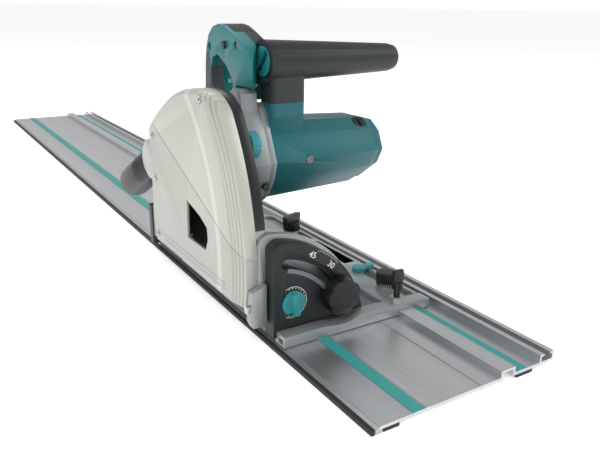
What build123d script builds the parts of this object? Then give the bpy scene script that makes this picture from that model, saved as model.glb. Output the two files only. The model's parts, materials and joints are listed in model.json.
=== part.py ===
"""Track plunge saw standing on its guide rail: one solid per physical piece, in millimetres.

X runs across the rail (the cut line is X = 0), Y runs along it (the saw cuts towards -Y) and Z is up,
with Z = 0 on the work that the rail lies on.  Inside the saw, places along Y are measured from the
front edge of the base with at(u).
"""
import os
from math import asin, atan2, cos, degrees, hypot, radians, sin, sqrt

from build123d import *

os.makedirs("parts", exist_ok=True)

# ---------------------------------------------------------------- driving dimensions
rail_length = 1400.0
rail_width = 180.0
rail_sheet = 2.5            # thickness of the extruded plate
rail_lift = 3.0             # foam and rubber under the plate
strip_overhang = 6.7        # rubber lip between the plate's edge and the cut line
glide_height = 0.5
rib_x = 125.3               # guide rib that the base straddles
rib_width = 15.8
rib_height = 11.0
base_width = 158.5
base_length = 300.0
base_left = 4.2
sole_thickness = 3.5
rib_top_z = 13.5            # top of the webs and bars on the base
saw_place = -578.0          # Y of the base's front edge in the stored pose
slide_clearance = 0.1
rib_clearance = 0.15
blade_diameter = 165.0
blade_bore = 20.0
kerf = 2.2
blade_plate = 1.4
blade_gap = 0.2             # teeth to the splinter strip
cut_depth = 55.0
tooth_count = 48
pivot_u = 260.0
pivot_z = 60.0
blade_u = 128.0             # blade centre with the head up
blade_z = 115.0
motor_u = 142.0
motor_z = 131.0
gear_teeth = 36
pinion_teeth = 9
case_left = -20.3
case_split = -5.0
case_right = 4.5
case_wall = 2.6
front_arc_r = 231.0
case_bottom = 34.0
bracket_thickness = 6.0
quadrant_thickness = 14.0
front_slot_r = 75.0
rear_slot_r = 46.0
front_bolt_angle = 30.5
rear_bolt_angle = 38.0
tilt_range = 48.0
bolt_r = 3.9
slot_clearance = 0.3
running_gap = 0.05
face_gap = 0.2
spindle_r = 6.0
shaft_r = 4.0
pivot_r = 5.0
nozzle_u = 240.0
nozzle_z = 120.0
nozzle_r = 18.0
nozzle_length = 99.0
nozzle_drop = 27.0          # degrees below level
handle_x = 45.0
handle_width = 26.0
grip_u = 113.0
grip_z = 227.0
grip_r = 19.0
grip_end_r = 13.5
grip_end_x = 197.5
motor_end_x = 195.0


# ---------------------------------------------------------------- planes and small helpers
def at(u):
    """Y of a point u behind the base's front edge."""
    return saw_place + u


def side(x):
    """Plane across X: local x is Y, local y is Z, extrudes to +X."""
    return Plane.YZ.offset(x)


def facing(u):
    """Plane across Y at u: local x is X, local y is Z, extrudes towards the front."""
    return Plane.XZ.offset(-at(u))


def level(z):
    return Plane.XY.offset(z)


def polar(centre, radius, angle):
    return (centre[0] + radius * cos(radians(angle)), centre[1] + radius * sin(radians(angle)))


def pivot_polar(radius, angle):
    """Side-view point at an angle above level, seen from the plunge pivot towards the front."""
    return (at(pivot_u) - radius * cos(radians(angle)), pivot_z + radius * sin(radians(angle)))


def polygon(*points):
    """Closed face through (u, z) points of the side view."""
    with BuildSketch() as sketch:
        with BuildLine():
            Polyline(*[(at(u), z) for u, z in points], close=True)
        make_face()
    return sketch.sketch


def ring_sector(centre, inner, outer, start, end):
    """Band between two radii from one angle to another, in local sketch coordinates."""
    with BuildSketch() as sketch:
        with BuildLine():
            CenterArc(centre, outer, start, end - start)
            Line(polar(centre, outer, end), polar(centre, inner, end))
            CenterArc(centre, inner, end, start - end)
            Line(polar(centre, inner, start), polar(centre, outer, start))
        make_face()
    return sketch.sketch


def round_slot(centre, radius, width, start, end):
    """Arc slot with rounded ends about a centre."""
    with BuildSketch() as sketch:
        add(ring_sector(centre, radius - width / 2, radius + width / 2, start, end))
        with Locations(polar(centre, radius, start), polar(centre, radius, end)):
            Circle(width / 2)
    return sketch.sketch


def bar_x(centre_u, z, radius, x0, x1):
    """Round bar along X."""
    with BuildPart() as bar:
        with BuildSketch(side(x0)):
            with Locations((at(centre_u), z)):
                Circle(radius)
        extrude(amount=x1 - x0)
    return bar.part


def tube_x(centre_u, z, outer, inner, x0, x1):
    """Round tube along X."""
    with BuildPart() as tube:
        with BuildSketch(side(x0)):
            with Locations((at(centre_u), z)):
                Circle(outer)
                Circle(inner, mode=Mode.SUBTRACT)
        extrude(amount=x1 - x0)
    return tube.part


def finish(builder, name):
    builder.part.label = name
    export_step(builder.part, f"parts/{name}.step")


cut_line = (0.0, 0.0)
pivot = (at(pivot_u), pivot_z)
blade_centre = (at(blade_u), blade_z)
motor_centre = (at(motor_u), motor_z)
hub = (at(nozzle_u), nozzle_z)
swing_r = hypot(pivot_u - blade_u, blade_z - pivot_z)
raised_angle = degrees(atan2(blade_z - pivot_z, pivot_u - blade_u))
plunged_z = blade_diameter / 2 - cut_depth
plunge_travel = raised_angle + degrees(asin((pivot_z - plunged_z) / swing_r))
gear_distance = hypot(motor_u - blade_u, motor_z - blade_z)
gear_module = 2 * gear_distance / (gear_teeth + pinion_teeth)
gear_pitch_r = gear_module * gear_teeth / 2
pinion_pitch_r = gear_module * pinion_teeth / 2

# ---------------------------------------------------------------- guide rail
rail_edge = strip_overhang
rail_far = rail_edge + rail_width
plate_top = rail_lift + rail_sheet
rib_right = rib_x + rib_width
rib_wall = 1.8
channel_width = 16.6
channel_top = 11.9
channel_lip = 4.8
channel_wall = 1.8
lip_thickness = 1.6
ridge_height = 0.5
ridge_width = 1.0
ridge_places = (49.1, 104.0)
channel_left = rail_far - channel_width

with BuildPart() as guide_rail:
    with BuildSketch(Plane.XZ.offset(-rail_length / 2)):
        with BuildLine():
            Polyline(
                (rail_edge, rail_lift),
                (rib_x + rib_wall, rail_lift),
                (rib_x + rib_wall, rib_height - rib_wall),
                (rib_right - rib_wall, rib_height - rib_wall),
                (rib_right - rib_wall, rail_lift),
                (rail_far, rail_lift),
                (rail_far, channel_top),
                (rail_far - channel_lip, channel_top),
                (rail_far - channel_lip, channel_top - lip_thickness),
                (rail_far - channel_wall, channel_top - lip_thickness),
                (rail_far - channel_wall, plate_top),
                (channel_left + channel_wall, plate_top),
                (channel_left + channel_wall, channel_top - lip_thickness),
                (channel_left + channel_lip, channel_top - lip_thickness),
                (channel_left + channel_lip, channel_top),
                (channel_left, channel_top),
                (channel_left, plate_top),
                (rib_right, plate_top),
                (rib_right, rib_height),
                (rib_x, rib_height),
                (rib_x, plate_top),
                (rail_edge, plate_top),
                close=True,
            )
        make_face()
        for ridge_x in ridge_places:
            with Locations((ridge_x, plate_top)):
                Rectangle(ridge_width, ridge_height, align=(Align.MIN, Align.MIN))
    extrude(amount=rail_length)
finish(guide_rail, "guide_rail")

strip_tongue = 9.5
strip_outer_z = 3.4
strip_inner_z = 5.0
with BuildPart() as splinter_strip:
    with BuildSketch(Plane.XZ.offset(-rail_length / 2)):
        with BuildLine():
            Polyline(
                (0, 0),
                (strip_tongue, 0),
                (strip_tongue, rail_lift),
                (rail_edge, rail_lift),
                (rail_edge, strip_inner_z),
                (0, strip_outer_z),
                close=True,
            )
        make_face()
    extrude(amount=rail_length)
finish(splinter_strip, "splinter_strip")

glide_strip_spans = ((36.9, 47.8), (145.4, 155.1))
with BuildPart() as glide_strips:
    with BuildSketch(Plane.XZ.offset(-rail_length / 2)):
        for strip_start, strip_end in glide_strip_spans:
            with Locations((strip_start, plate_top)):
                Rectangle(strip_end - strip_start, glide_height, align=(Align.MIN, Align.MIN))
    extrude(amount=rail_length)
finish(glide_strips, "glide_strips")

grip_strip_spans = ((10.5, 24.5), (143.7, 161.7))
with BuildPart() as grip_strips:
    with BuildSketch(Plane.XZ.offset(-rail_length / 2)):
        for strip_start, strip_end in grip_strip_spans:
            with Locations((strip_start, 0)):
                Rectangle(strip_end - strip_start, rail_lift, align=(Align.MIN, Align.MIN))
    extrude(amount=rail_length)
finish(grip_strips, "grip_strips")

# ---------------------------------------------------------------- base
sole_z = plate_top + glide_height + slide_clearance
sole_top = sole_z + sole_thickness
base_right = base_left + base_width
base_mid = base_left + base_width / 2
rim_width = 4.0
corner_r = 10.0
low_rim_z = 10.1
window_x = (10.2, 66.0)
window_u = (58.0, 222.0)
notch_x = (rib_x - rib_clearance, rib_right + rib_clearance)
notch_top = rib_height + rib_clearance
hat_wall = 4.0
flange_depth = 13.0
flange_z = 15.6
flange_dip_z = 13.6
flange_high_z = 17.6
fence_slot_u = (2.6, 10.8)
fence_slot_z = (7.4, 12.2)
cam_x = 148.5
cam_places_u = (47.0, 228.0)
cam_boss_r = 9.0
cam_boss_top = 16.6
cam_shaft_r = 3.9
cam_r = 6.6
cam_pocket_r = 7.3
cam_pocket_top = 9.2
tip_lever_x = 147.0
tip_lever_u = 90.0
tip_boss_r = 6.0
tip_pin_r = 3.0
fence_screw_x = 128.0
fence_screw_u = 6.7
fence_screw_r = 3.0
fence_boss_r = 6.2
fence_boss_top = 22.0
bar_places_u = (106.0, 190.0)
bar_width = 13.0
web_width = 3.0
web_bays_u = ((62.0, 99.0), (113.0, 183.0), (197.0, 219.0), (236.0, 264.0))
quadrant_screw_x = (14.0, 84.0)
rear_screw_x = (12.0, 46.0)
quadrant_screw_r = 2.0
screw_head_r = 4.0
screw_head_t = 2.0
front_quadrant_u = (13.0, 13.0 + quadrant_thickness)
rear_quadrant_u = (282.0, 292.0)

with BuildPart() as base_plate:
    with BuildSketch(level(sole_z)):
        with Locations((base_mid, at(base_length / 2))):
            RectangleRounded(base_width, base_length, corner_r)
    extrude(amount=sole_thickness)
    # rim on the right and across the back
    with BuildSketch(level(sole_top)):
        with Locations((base_mid, at(base_length / 2))):
            RectangleRounded(base_width, base_length, corner_r)
            RectangleRounded(base_width - 2 * rim_width, base_length - 2 * rim_width,
                             corner_r - rim_width, mode=Mode.SUBTRACT)
        with Locations((base_left, at(flange_depth))):
            Rectangle(rim_width + 1, base_length, align=(Align.MIN, Align.MIN), mode=Mode.SUBTRACT)
        with Locations((base_left, at(rear_quadrant_u[0] - 12))):
            Rectangle(base_width - rim_width - corner_r, 40, align=(Align.MIN, Align.MIN),
                      mode=Mode.SUBTRACT)
    extrude(amount=rib_top_z - sole_top)
    # hat over the guide rib, cross bars and diagonal webs
    with BuildSketch(level(sole_z)):
        with Locations((notch_x[0] - hat_wall, at(0))):
            Rectangle(notch_x[1] - notch_x[0] + 2 * hat_wall, base_length,
                      align=(Align.MIN, Align.MIN))
        for bar_u in bar_places_u:
            with Locations((window_x[1], at(bar_u))):
                Rectangle(base_right - window_x[1] - 1, bar_width, align=(Align.MIN, Align.CENTER))
        for bay_start, bay_end in web_bays_u:
            bay_mid = (bay_start + bay_end) / 2
            bay_left = window_x[1]
            bay_right = notch_x[0] - hat_wall
            bay_run = hypot(bay_right - bay_left, bay_end - bay_start)
            bay_angle = degrees(atan2(bay_end - bay_start, bay_right - bay_left))
            with Locations(Location(((bay_left + bay_right) / 2, at(bay_mid), 0), (0, 0, bay_angle)),
                           Location(((bay_left + bay_right) / 2, at(bay_mid), 0), (0, 0, -bay_angle))):
                Rectangle(bay_run, web_width)
            with Locations((bay_left, at(bay_start)), (bay_left, at(bay_end))):
                Rectangle(bay_right - bay_left, web_width, align=(Align.MIN, Align.CENTER))
    extrude(amount=rib_top_z - sole_z)
    # front flange, which holds the parallel fence
    with BuildSketch(facing(flange_depth)):
        with BuildLine():
            Polyline(
                (base_left, sole_z),
                (base_right, sole_z),
                (base_right, flange_z - 1),
                (base_right - 6, flange_z),
                (90.0, flange_high_z),
            )
            Spline((90.0, flange_high_z), (68.0, flange_dip_z), (58.0, flange_dip_z),
                   (40.0, flange_z), tangents=[(-1, 0.0), (-1, 0.0)])
            Polyline((40.0, flange_z), (base_left, flange_z), (base_left, sole_z))
        make_face()
    extrude(amount=flange_depth)
    # bosses
    with BuildSketch(level(sole_z)):
        with Locations(*[(cam_x, at(u)) for u in cam_places_u]):
            Circle(cam_boss_r)
    extrude(amount=cam_boss_top - sole_z)
    with BuildSketch(level(sole_z)):
        with Locations((tip_lever_x, at(tip_lever_u))):
            Circle(tip_boss_r)
    extrude(amount=rib_top_z - sole_z)
    with BuildSketch(level(flange_z - 2)):
        with Locations((fence_screw_x, at(fence_screw_u))):
            Circle(fence_boss_r)
    extrude(amount=fence_boss_top - flange_z + 2)
    # window that the gear housing sinks into
    with BuildSketch(level(sole_z)):
        with Locations((window_x[0], at(window_u[0]))):
            Rectangle(window_x[1] - window_x[0], window_u[1] - window_u[0],
                      align=(Align.MIN, Align.MIN))
    extrude(amount=flange_high_z, mode=Mode.SUBTRACT)
    # groove for the guide rib, pockets and holes for the two adjuster cams
    with BuildSketch(level(sole_z)):
        with Locations((notch_x[0], at(0))):
            Rectangle(notch_x[1] - notch_x[0], base_length, align=(Align.MIN, Align.MIN))
    extrude(amount=notch_top - sole_z, mode=Mode.SUBTRACT)
    with BuildSketch(level(sole_z)):
        with Locations(*[(cam_x, at(u)) for u in cam_places_u]):
            Circle(cam_pocket_r)
    extrude(amount=cam_pocket_top - sole_z, mode=Mode.SUBTRACT)
    with BuildSketch(level(sole_z)):
        with Locations(*[(cam_x, at(u)) for u in cam_places_u]):
            Circle(cam_shaft_r + running_gap)
        with Locations((tip_lever_x, at(tip_lever_u))):
            Circle(tip_pin_r + running_gap)
    extrude(amount=cam_boss_top, mode=Mode.SUBTRACT)
    # slot for the parallel fence and the thread of its clamp screw
    with BuildSketch(side(base_left)):
        with BuildLine():
            Polyline(
                (at(fence_slot_u[0]), fence_slot_z[0]),
                (at(fence_slot_u[1]), fence_slot_z[0]),
                (at(fence_slot_u[1]), fence_slot_z[1]),
                (at(fence_slot_u[0]), fence_slot_z[1]),
                close=True,
            )
        make_face()
    extrude(amount=base_width, mode=Mode.SUBTRACT)
    with BuildSketch(level(fence_slot_z[1] - 1)):
        with Locations((fence_screw_x, at(fence_screw_u))):
            Circle(fence_screw_r + running_gap)
    extrude(amount=fence_boss_top, mode=Mode.SUBTRACT)
    # countersunk holes for the screws that hold the quadrants
    for screw_u, screw_places in ((sum(front_quadrant_u) / 2, quadrant_screw_x),
                                  (sum(rear_quadrant_u) / 2, rear_screw_x)):
        with BuildSketch(level(sole_z)):
            with Locations(*[(x, at(screw_u)) for x in screw_places]):
                Circle(quadrant_screw_r + running_gap)
        extrude(amount=sole_thickness, mode=Mode.SUBTRACT)
        with BuildSketch(level(sole_z)):
            with Locations(*[(x, at(screw_u)) for x in screw_places]):
                Circle(screw_head_r + running_gap)
        extrude(amount=screw_head_t, mode=Mode.SUBTRACT)
finish(base_plate, "base_plate")

# ---------------------------------------------------------------- quadrants on the base
quadrant_r = 94.0
quadrant_left = 1.2
quadrant_corner = 12.0
quadrant_end_angle = 9.0
slot_width = 2 * (bolt_r + slot_clearance)
slot_spare = 1.5            # degrees of slot beyond the bolt's travel
front_slot_angles = (front_bolt_angle - slot_spare, front_bolt_angle + tilt_range + slot_spare)
rear_slot_angles = (rear_bolt_angle - slot_spare, rear_bolt_angle + tilt_range + slot_spare)
recess_depth = 2.2
recess_r = (17.0, 83.0)
recess_left = 13.0
recess_bottom = 16.0
dial_place = (20.5, 38.0)
dial_stem_r = 4.0
dial_r = 11.0

quadrant_top_angle = degrees(asin((quadrant_left + quadrant_corner) / quadrant_r))
with BuildPart() as front_quadrant:
    with BuildSketch(facing(front_quadrant_u[1])):
        with BuildLine():
            Polyline(
                polar(cut_line, quadrant_r, quadrant_end_angle),
                (quadrant_r * cos(radians(quadrant_end_angle)), sole_top),
                (quadrant_left, sole_top),
                (quadrant_left, quadrant_r * cos(radians(quadrant_top_angle)) - quadrant_corner / 2),
            )
            RadiusArc(
                (quadrant_left, quadrant_r * cos(radians(quadrant_top_angle)) - quadrant_corner / 2),
                polar(cut_line, quadrant_r, 90 - quadrant_top_angle),
                quadrant_corner,
            )
            CenterArc(cut_line, quadrant_r, quadrant_end_angle,
                      90 - quadrant_top_angle - quadrant_end_angle)
        make_face()
    extrude(amount=quadrant_thickness)
    with BuildSketch(facing(front_quadrant_u[0] + recess_depth)):
        with BuildLine():
            Polyline(
                (recess_left, sqrt(recess_r[1] ** 2 - recess_left ** 2)),
                (recess_left, recess_bottom),
                (sqrt(recess_r[1] ** 2 - recess_bottom ** 2), recess_bottom),
            )
            CenterArc(cut_line, recess_r[1], degrees(asin(recess_bottom / recess_r[1])),
                      90 - degrees(asin(recess_left / recess_r[1]))
                      - degrees(asin(recess_bottom / recess_r[1])))
        make_face()
    extrude(amount=recess_depth, mode=Mode.SUBTRACT)
    with BuildSketch(facing(front_quadrant_u[0] + recess_depth)):
        with Locations(dial_place):
            Circle(dial_r + 0.3)
    extrude(amount=recess_depth, mode=Mode.SUBTRACT)
    with BuildSketch(facing(front_quadrant_u[1])):
        add(round_slot(cut_line, front_slot_r, slot_width, *front_slot_angles))
        with Locations(dial_place):
            Circle(dial_stem_r + running_gap)
    extrude(amount=quadrant_thickness, mode=Mode.SUBTRACT)
    with BuildSketch(level(sole_top)):
        with Locations(*[(x, at(sum(front_quadrant_u) / 2)) for x in quadrant_screw_x]):
            Circle(quadrant_screw_r)
    extrude(amount=8, mode=Mode.SUBTRACT)
finish(front_quadrant, "front_quadrant")

rear_quadrant_r = 56.0
rear_quadrant_left = -6.0
with BuildPart() as rear_quadrant:
    with BuildSketch(facing(rear_quadrant_u[1])):
        with BuildLine():
            Polyline(
                (sqrt(rear_quadrant_r ** 2 - 14 ** 2), 14),
                (sqrt(rear_quadrant_r ** 2 - 14 ** 2), sole_top),
                (rear_quadrant_left, sole_top),
                (rear_quadrant_left, sqrt(rear_quadrant_r ** 2 - rear_quadrant_left ** 2)),
            )
            CenterArc(cut_line, rear_quadrant_r, degrees(asin(14 / rear_quadrant_r)),
                      90 - degrees(asin(14 / rear_quadrant_r))
                      + degrees(asin(-rear_quadrant_left / rear_quadrant_r)))
        make_face()
    extrude(amount=rear_quadrant_u[1] - rear_quadrant_u[0])
    with BuildSketch(facing(rear_quadrant_u[1])):
        add(round_slot(cut_line, rear_slot_r, slot_width, *rear_slot_angles))
    extrude(amount=rear_quadrant_u[1] - rear_quadrant_u[0], mode=Mode.SUBTRACT)
    with BuildSketch(level(sole_top)):
        with Locations(*[(x, at(sum(rear_quadrant_u) / 2)) for x in rear_screw_x]):
            Circle(quadrant_screw_r)
    extrude(amount=8, mode=Mode.SUBTRACT)
finish(rear_quadrant, "rear_quadrant")

with BuildPart() as quadrant_screws:
    for screw_u, screw_places in ((sum(front_quadrant_u) / 2, quadrant_screw_x),
                                  (sum(rear_quadrant_u) / 2, rear_screw_x)):
        with BuildSketch(level(sole_z + 0.2)):
            with Locations(*[(x, at(screw_u)) for x in screw_places]):
                Circle(screw_head_r)
        extrude(amount=screw_head_t - 0.2)
        with BuildSketch(level(sole_z + 0.2)):
            with Locations(*[(x, at(screw_u)) for x in screw_places]):
                Circle(quadrant_screw_r)
        extrude(amount=sole_thickness + 7)
finish(quadrant_screws, "quadrant_screws")

# ---------------------------------------------------------------- small controls on the base
cam_throw = 0.4
rail_knob_r = 10.0
rail_knob_z = (cam_boss_top + face_gap, 27.5)
flute_r = 1.4
for knob_name, knob_u in zip(("front_rail_knob", "rear_rail_knob"), cam_places_u):
    with BuildPart() as rail_knob:
        with BuildSketch(level(rail_knob_z[0])):
            with Locations((cam_x, at(knob_u))):
                Circle(rail_knob_r)
                with PolarLocations(rail_knob_r + 0.5, 16):
                    Circle(flute_r, mode=Mode.SUBTRACT)
        extrude(amount=rail_knob_z[1] - rail_knob_z[0])
        with BuildSketch(level(cam_pocket_top - 2.6)):
            with Locations((cam_x, at(knob_u))):
                Circle(cam_shaft_r)
        extrude(amount=rail_knob_z[0] - cam_pocket_top + 2.6)
        with BuildSketch(level(cam_pocket_top - 2.6)):
            with Locations((cam_x + cam_throw, at(knob_u))):
                Circle(cam_r)
        extrude(amount=2.4)
        if knob_name == "rear_rail_knob":
            # finger wing on the rear knob
            with BuildSketch(level(rail_knob_z[1] - 1)):
                with Locations(Location((cam_x, at(knob_u), 0), (0, 0, 20))):
                    RectangleRounded(29, 7, 3)
            extrude(amount=9)
    finish(rail_knob, knob_name)

tip_lever_z = (rib_top_z + face_gap, 18.0)
tip_lever_reach = 15.5
with BuildPart() as anti_tip_lever:
    with BuildSketch(level(tip_lever_z[0])):
        with Locations((tip_lever_x, at(tip_lever_u))):
            Circle(7.0)
        with Locations((tip_lever_x, at(tip_lever_u))):
            Rectangle(tip_lever_reach, 7.0, align=(Align.MIN, Align.CENTER))
        with Locations((tip_lever_x + tip_lever_reach, at(tip_lever_u))):
            Circle(3.5)
    extrude(amount=tip_lever_z[1] - tip_lever_z[0])
    with BuildSketch(level(sole_z + 1)):
        with Locations((tip_lever_x, at(tip_lever_u))):
            Circle(tip_pin_r)
    extrude(amount=tip_lever_z[0] - sole_z - 1)
finish(anti_tip_lever, "anti_tip_lever")

fence_screw_top = 48.0
with BuildPart() as fence_screw:
    with BuildSketch(level(fence_slot_z[1] + 0.1)):
        with Locations((fence_screw_x, at(fence_screw_u))):
            Circle(fence_screw_r)
    extrude(amount=34.0 - fence_slot_z[1])
    with BuildSketch(level(30.0)):
        with Locations((fence_screw_x, at(fence_screw_u))):
            Circle(5.0)
    extrude(amount=6.0)
    with BuildSketch(Plane.XZ.offset(-at(fence_screw_u) - 1.8)):
        with BuildLine():
            Polyline((fence_screw_x - 4, 34), (fence_screw_x - 6.5, 40), (fence_screw_x - 5, fence_screw_top),
                     (fence_screw_x + 5, fence_screw_top), (fence_screw_x + 6.5, 40),
                     (fence_screw_x + 4, 34), close=True)
        make_face()
    extrude(amount=3.6)
finish(fence_screw, "fence_screw")

dial_u = (7.6, front_quadrant_u[0] + recess_depth - face_gap)
with BuildPart() as positive_stop_dial:
    with BuildSketch(facing(dial_u[1])):
        with Locations(dial_place):
            Circle(dial_r)
    extrude(amount=3.2)
    with BuildSketch(facing(dial_u[1] - 3)):
        with Locations(Location((dial_place[0], dial_place[1], 0), (0, 0, 100))):
            RectangleRounded(2 * dial_r - 1, 6.0, 2.5)
    extrude(amount=dial_u[1] - 3 - dial_u[0])
    with BuildSketch(facing(front_quadrant_u[1] - 1)):
        with Locations(dial_place):
            Circle(dial_stem_r)
    extrude(amount=front_quadrant_u[1] - 1 - dial_u[1])
finish(positive_stop_dial, "positive_stop_dial")

# ---------------------------------------------------------------- blade case
arc_top_angle = 35.0
case_bevel_x = -15.3
rear_edge_u = 234.0
neck_r = 16.0
neck_clearance = 1.0
cheek_r = 21.0
drum_r = 19.3
drum_x = (-16.1, 0.1)
band_depth = 2.0
band_end_z = 96.0
band_top_u = 127.0
bracket_u = (front_quadrant_u[1] + 0.6, front_quadrant_u[1] + 0.6 + bracket_thickness)
case_front_u = bracket_u[1]
boss_r = 13.0
right_wall = 3.0


def case_profile(front=0.0, shoulder=0.0, top=0.0, rim=0.0):
    """Side view of the blade case; each value moves one stretch of the outline inwards."""
    arc_r = front_arc_r - front
    bottom = case_bottom + rim
    foot = pivot_polar(arc_r, -degrees(asin((pivot_z - bottom) / arc_r)))
    belly = pivot_polar(arc_r, arc_top_angle / 2)
    brow = pivot_polar(front_arc_r - shoulder, arc_top_angle)
    crown = (at(110.0), 206.5 - top)
    tail = (at(rear_edge_u + 1.0 - rim), 157.0 - top / 2 - rim)
    heel = (at(rear_edge_u - 5.0 - rim), bottom)
    with BuildSketch() as sketch:
        with BuildLine():
            ThreePointArc(foot, belly, brow)
            ThreePointArc(brow, (at(88.5) + 0.4 * top, 203.2 - 0.9 * top), crown)
            ThreePointArc(crown, (at(178.0) - 0.3 * top, 192.0 - top), tail)
            Line(tail, (at(rear_edge_u - 2.0 - rim), 112.0))
            ThreePointArc((at(rear_edge_u - 2.0 - rim), 112.0), (at(rear_edge_u - rim), 76.0), heel)
            Line(heel, foot)
        make_face()
    return sketch.sketch


inner_profile = case_profile(case_wall, case_wall, case_wall, case_wall)
window_points = ((139.3, 101.9), (140.2, 64.4), (98.5, 64.9), (93.3, 76.3), (94.6, 87.2), (109.3, 94.2))
cover_screw_places = ((101.0, 199.0), (224.5, 148.0), (222.0, 105.0), (223.0, 43.5))
cover_screw_r = 2.0
slot_span_u = (156.0, 212.0)
cover_post_r = 4.0
screw_seat = 1.6             # floor of the screw pockets below the cover's face
blade_mouth_u = (34.0, 208.0)
flange_mouth_u = (99.0, 146.0)
flange_mouth_x = -14.0
bracket_screw_u = 40.5
bracket_screw_z = (52.0, 80.0)
bracket_screw_r = 2.0

with BuildPart() as blade_cover:
    with BuildSketch(side(case_bevel_x)):
        add(case_profile())
    extrude(amount=case_split - case_bevel_x)
    with BuildSketch(side(case_left)):
        add(case_profile(front=15.5, shoulder=9.0, top=4.5, rim=1.5))
    with BuildSketch(side(case_bevel_x)):
        add(case_profile())
    loft(ruled=True)
    # rounded cheek over the dust nozzle's hub
    with BuildSketch(side(case_left - 1.2)):
        with Locations(hub):
            Circle(cheek_r - 5)
    with BuildSketch(side(case_left + 1.3)):
        with Locations(hub):
            Circle(cheek_r)
    loft()
    with BuildSketch(side(case_left + 1.3)):
        with Locations(hub):
            Circle(cheek_r)
    extrude(amount=drum_x[0] - 0.3 - case_left - 1.3)
    # hollow inside
    with BuildSketch(side(case_bevel_x + 1.2)):
        add(inner_profile)
    extrude(amount=case_split - case_bevel_x, mode=Mode.SUBTRACT)
    with BuildSketch(side(case_left + 2.2)):
        add(case_profile(front=18.0, shoulder=12.0, top=7.0, rim=case_wall + 1.0))
    with BuildSketch(side(case_bevel_x + 1.2)):
        add(inner_profile)
    loft(ruled=True, mode=Mode.SUBTRACT)
    # posts for the cover screws
    with BuildSketch(side(case_left + 1.5)):
        with Locations(*[(at(u), z) for u, z in cover_screw_places]):
            Circle(cover_post_r)
    extrude(amount=case_split - case_left - 1.5)
    # blade stays clear inside the posts' side, the hub turns in a round seat
    with BuildSketch(side(drum_x[0] - 0.3)):
        with Locations(hub):
            Circle(drum_r + 0.5)
    extrude(amount=40, mode=Mode.SUBTRACT)
    with BuildSketch(side(case_left - 2)):
        add(polygon(*window_points))
    extrude(amount=8, mode=Mode.SUBTRACT)
    with BuildSketch(side(case_left - 2)):
        with Locations(*[(at(u), z) for u, z in cover_screw_places]):
            Circle(cover_screw_r + running_gap)
    extrude(amount=30, mode=Mode.SUBTRACT)
    with BuildSketch(side(case_left - 2)):
        with Locations(*[(at(u), z) for u, z in cover_screw_places]):
            Circle(3.6)
    extrude(amount=screw_seat + 2, mode=Mode.SUBTRACT)
    # mouth for the outer flange and the blade's bolt
    with BuildSketch(side(flange_mouth_x)):
        with Locations((at(flange_mouth_u[0]), case_bottom - 1)):
            Rectangle(flange_mouth_u[1] - flange_mouth_u[0], case_wall + 2, align=(Align.MIN, Align.MIN))
    extrude(amount=case_split - flange_mouth_x + 1, mode=Mode.SUBTRACT)
    # dust relief slot low down at the back
    with BuildSketch(side(case_left - 2)):
        with Locations((at(sum(slot_span_u) / 2), case_bottom)):
            Rectangle(slot_span_u[1] - slot_span_u[0], 5.0)
    extrude(amount=5.5, mode=Mode.SUBTRACT)
finish(blade_cover, "blade_cover")

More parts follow.
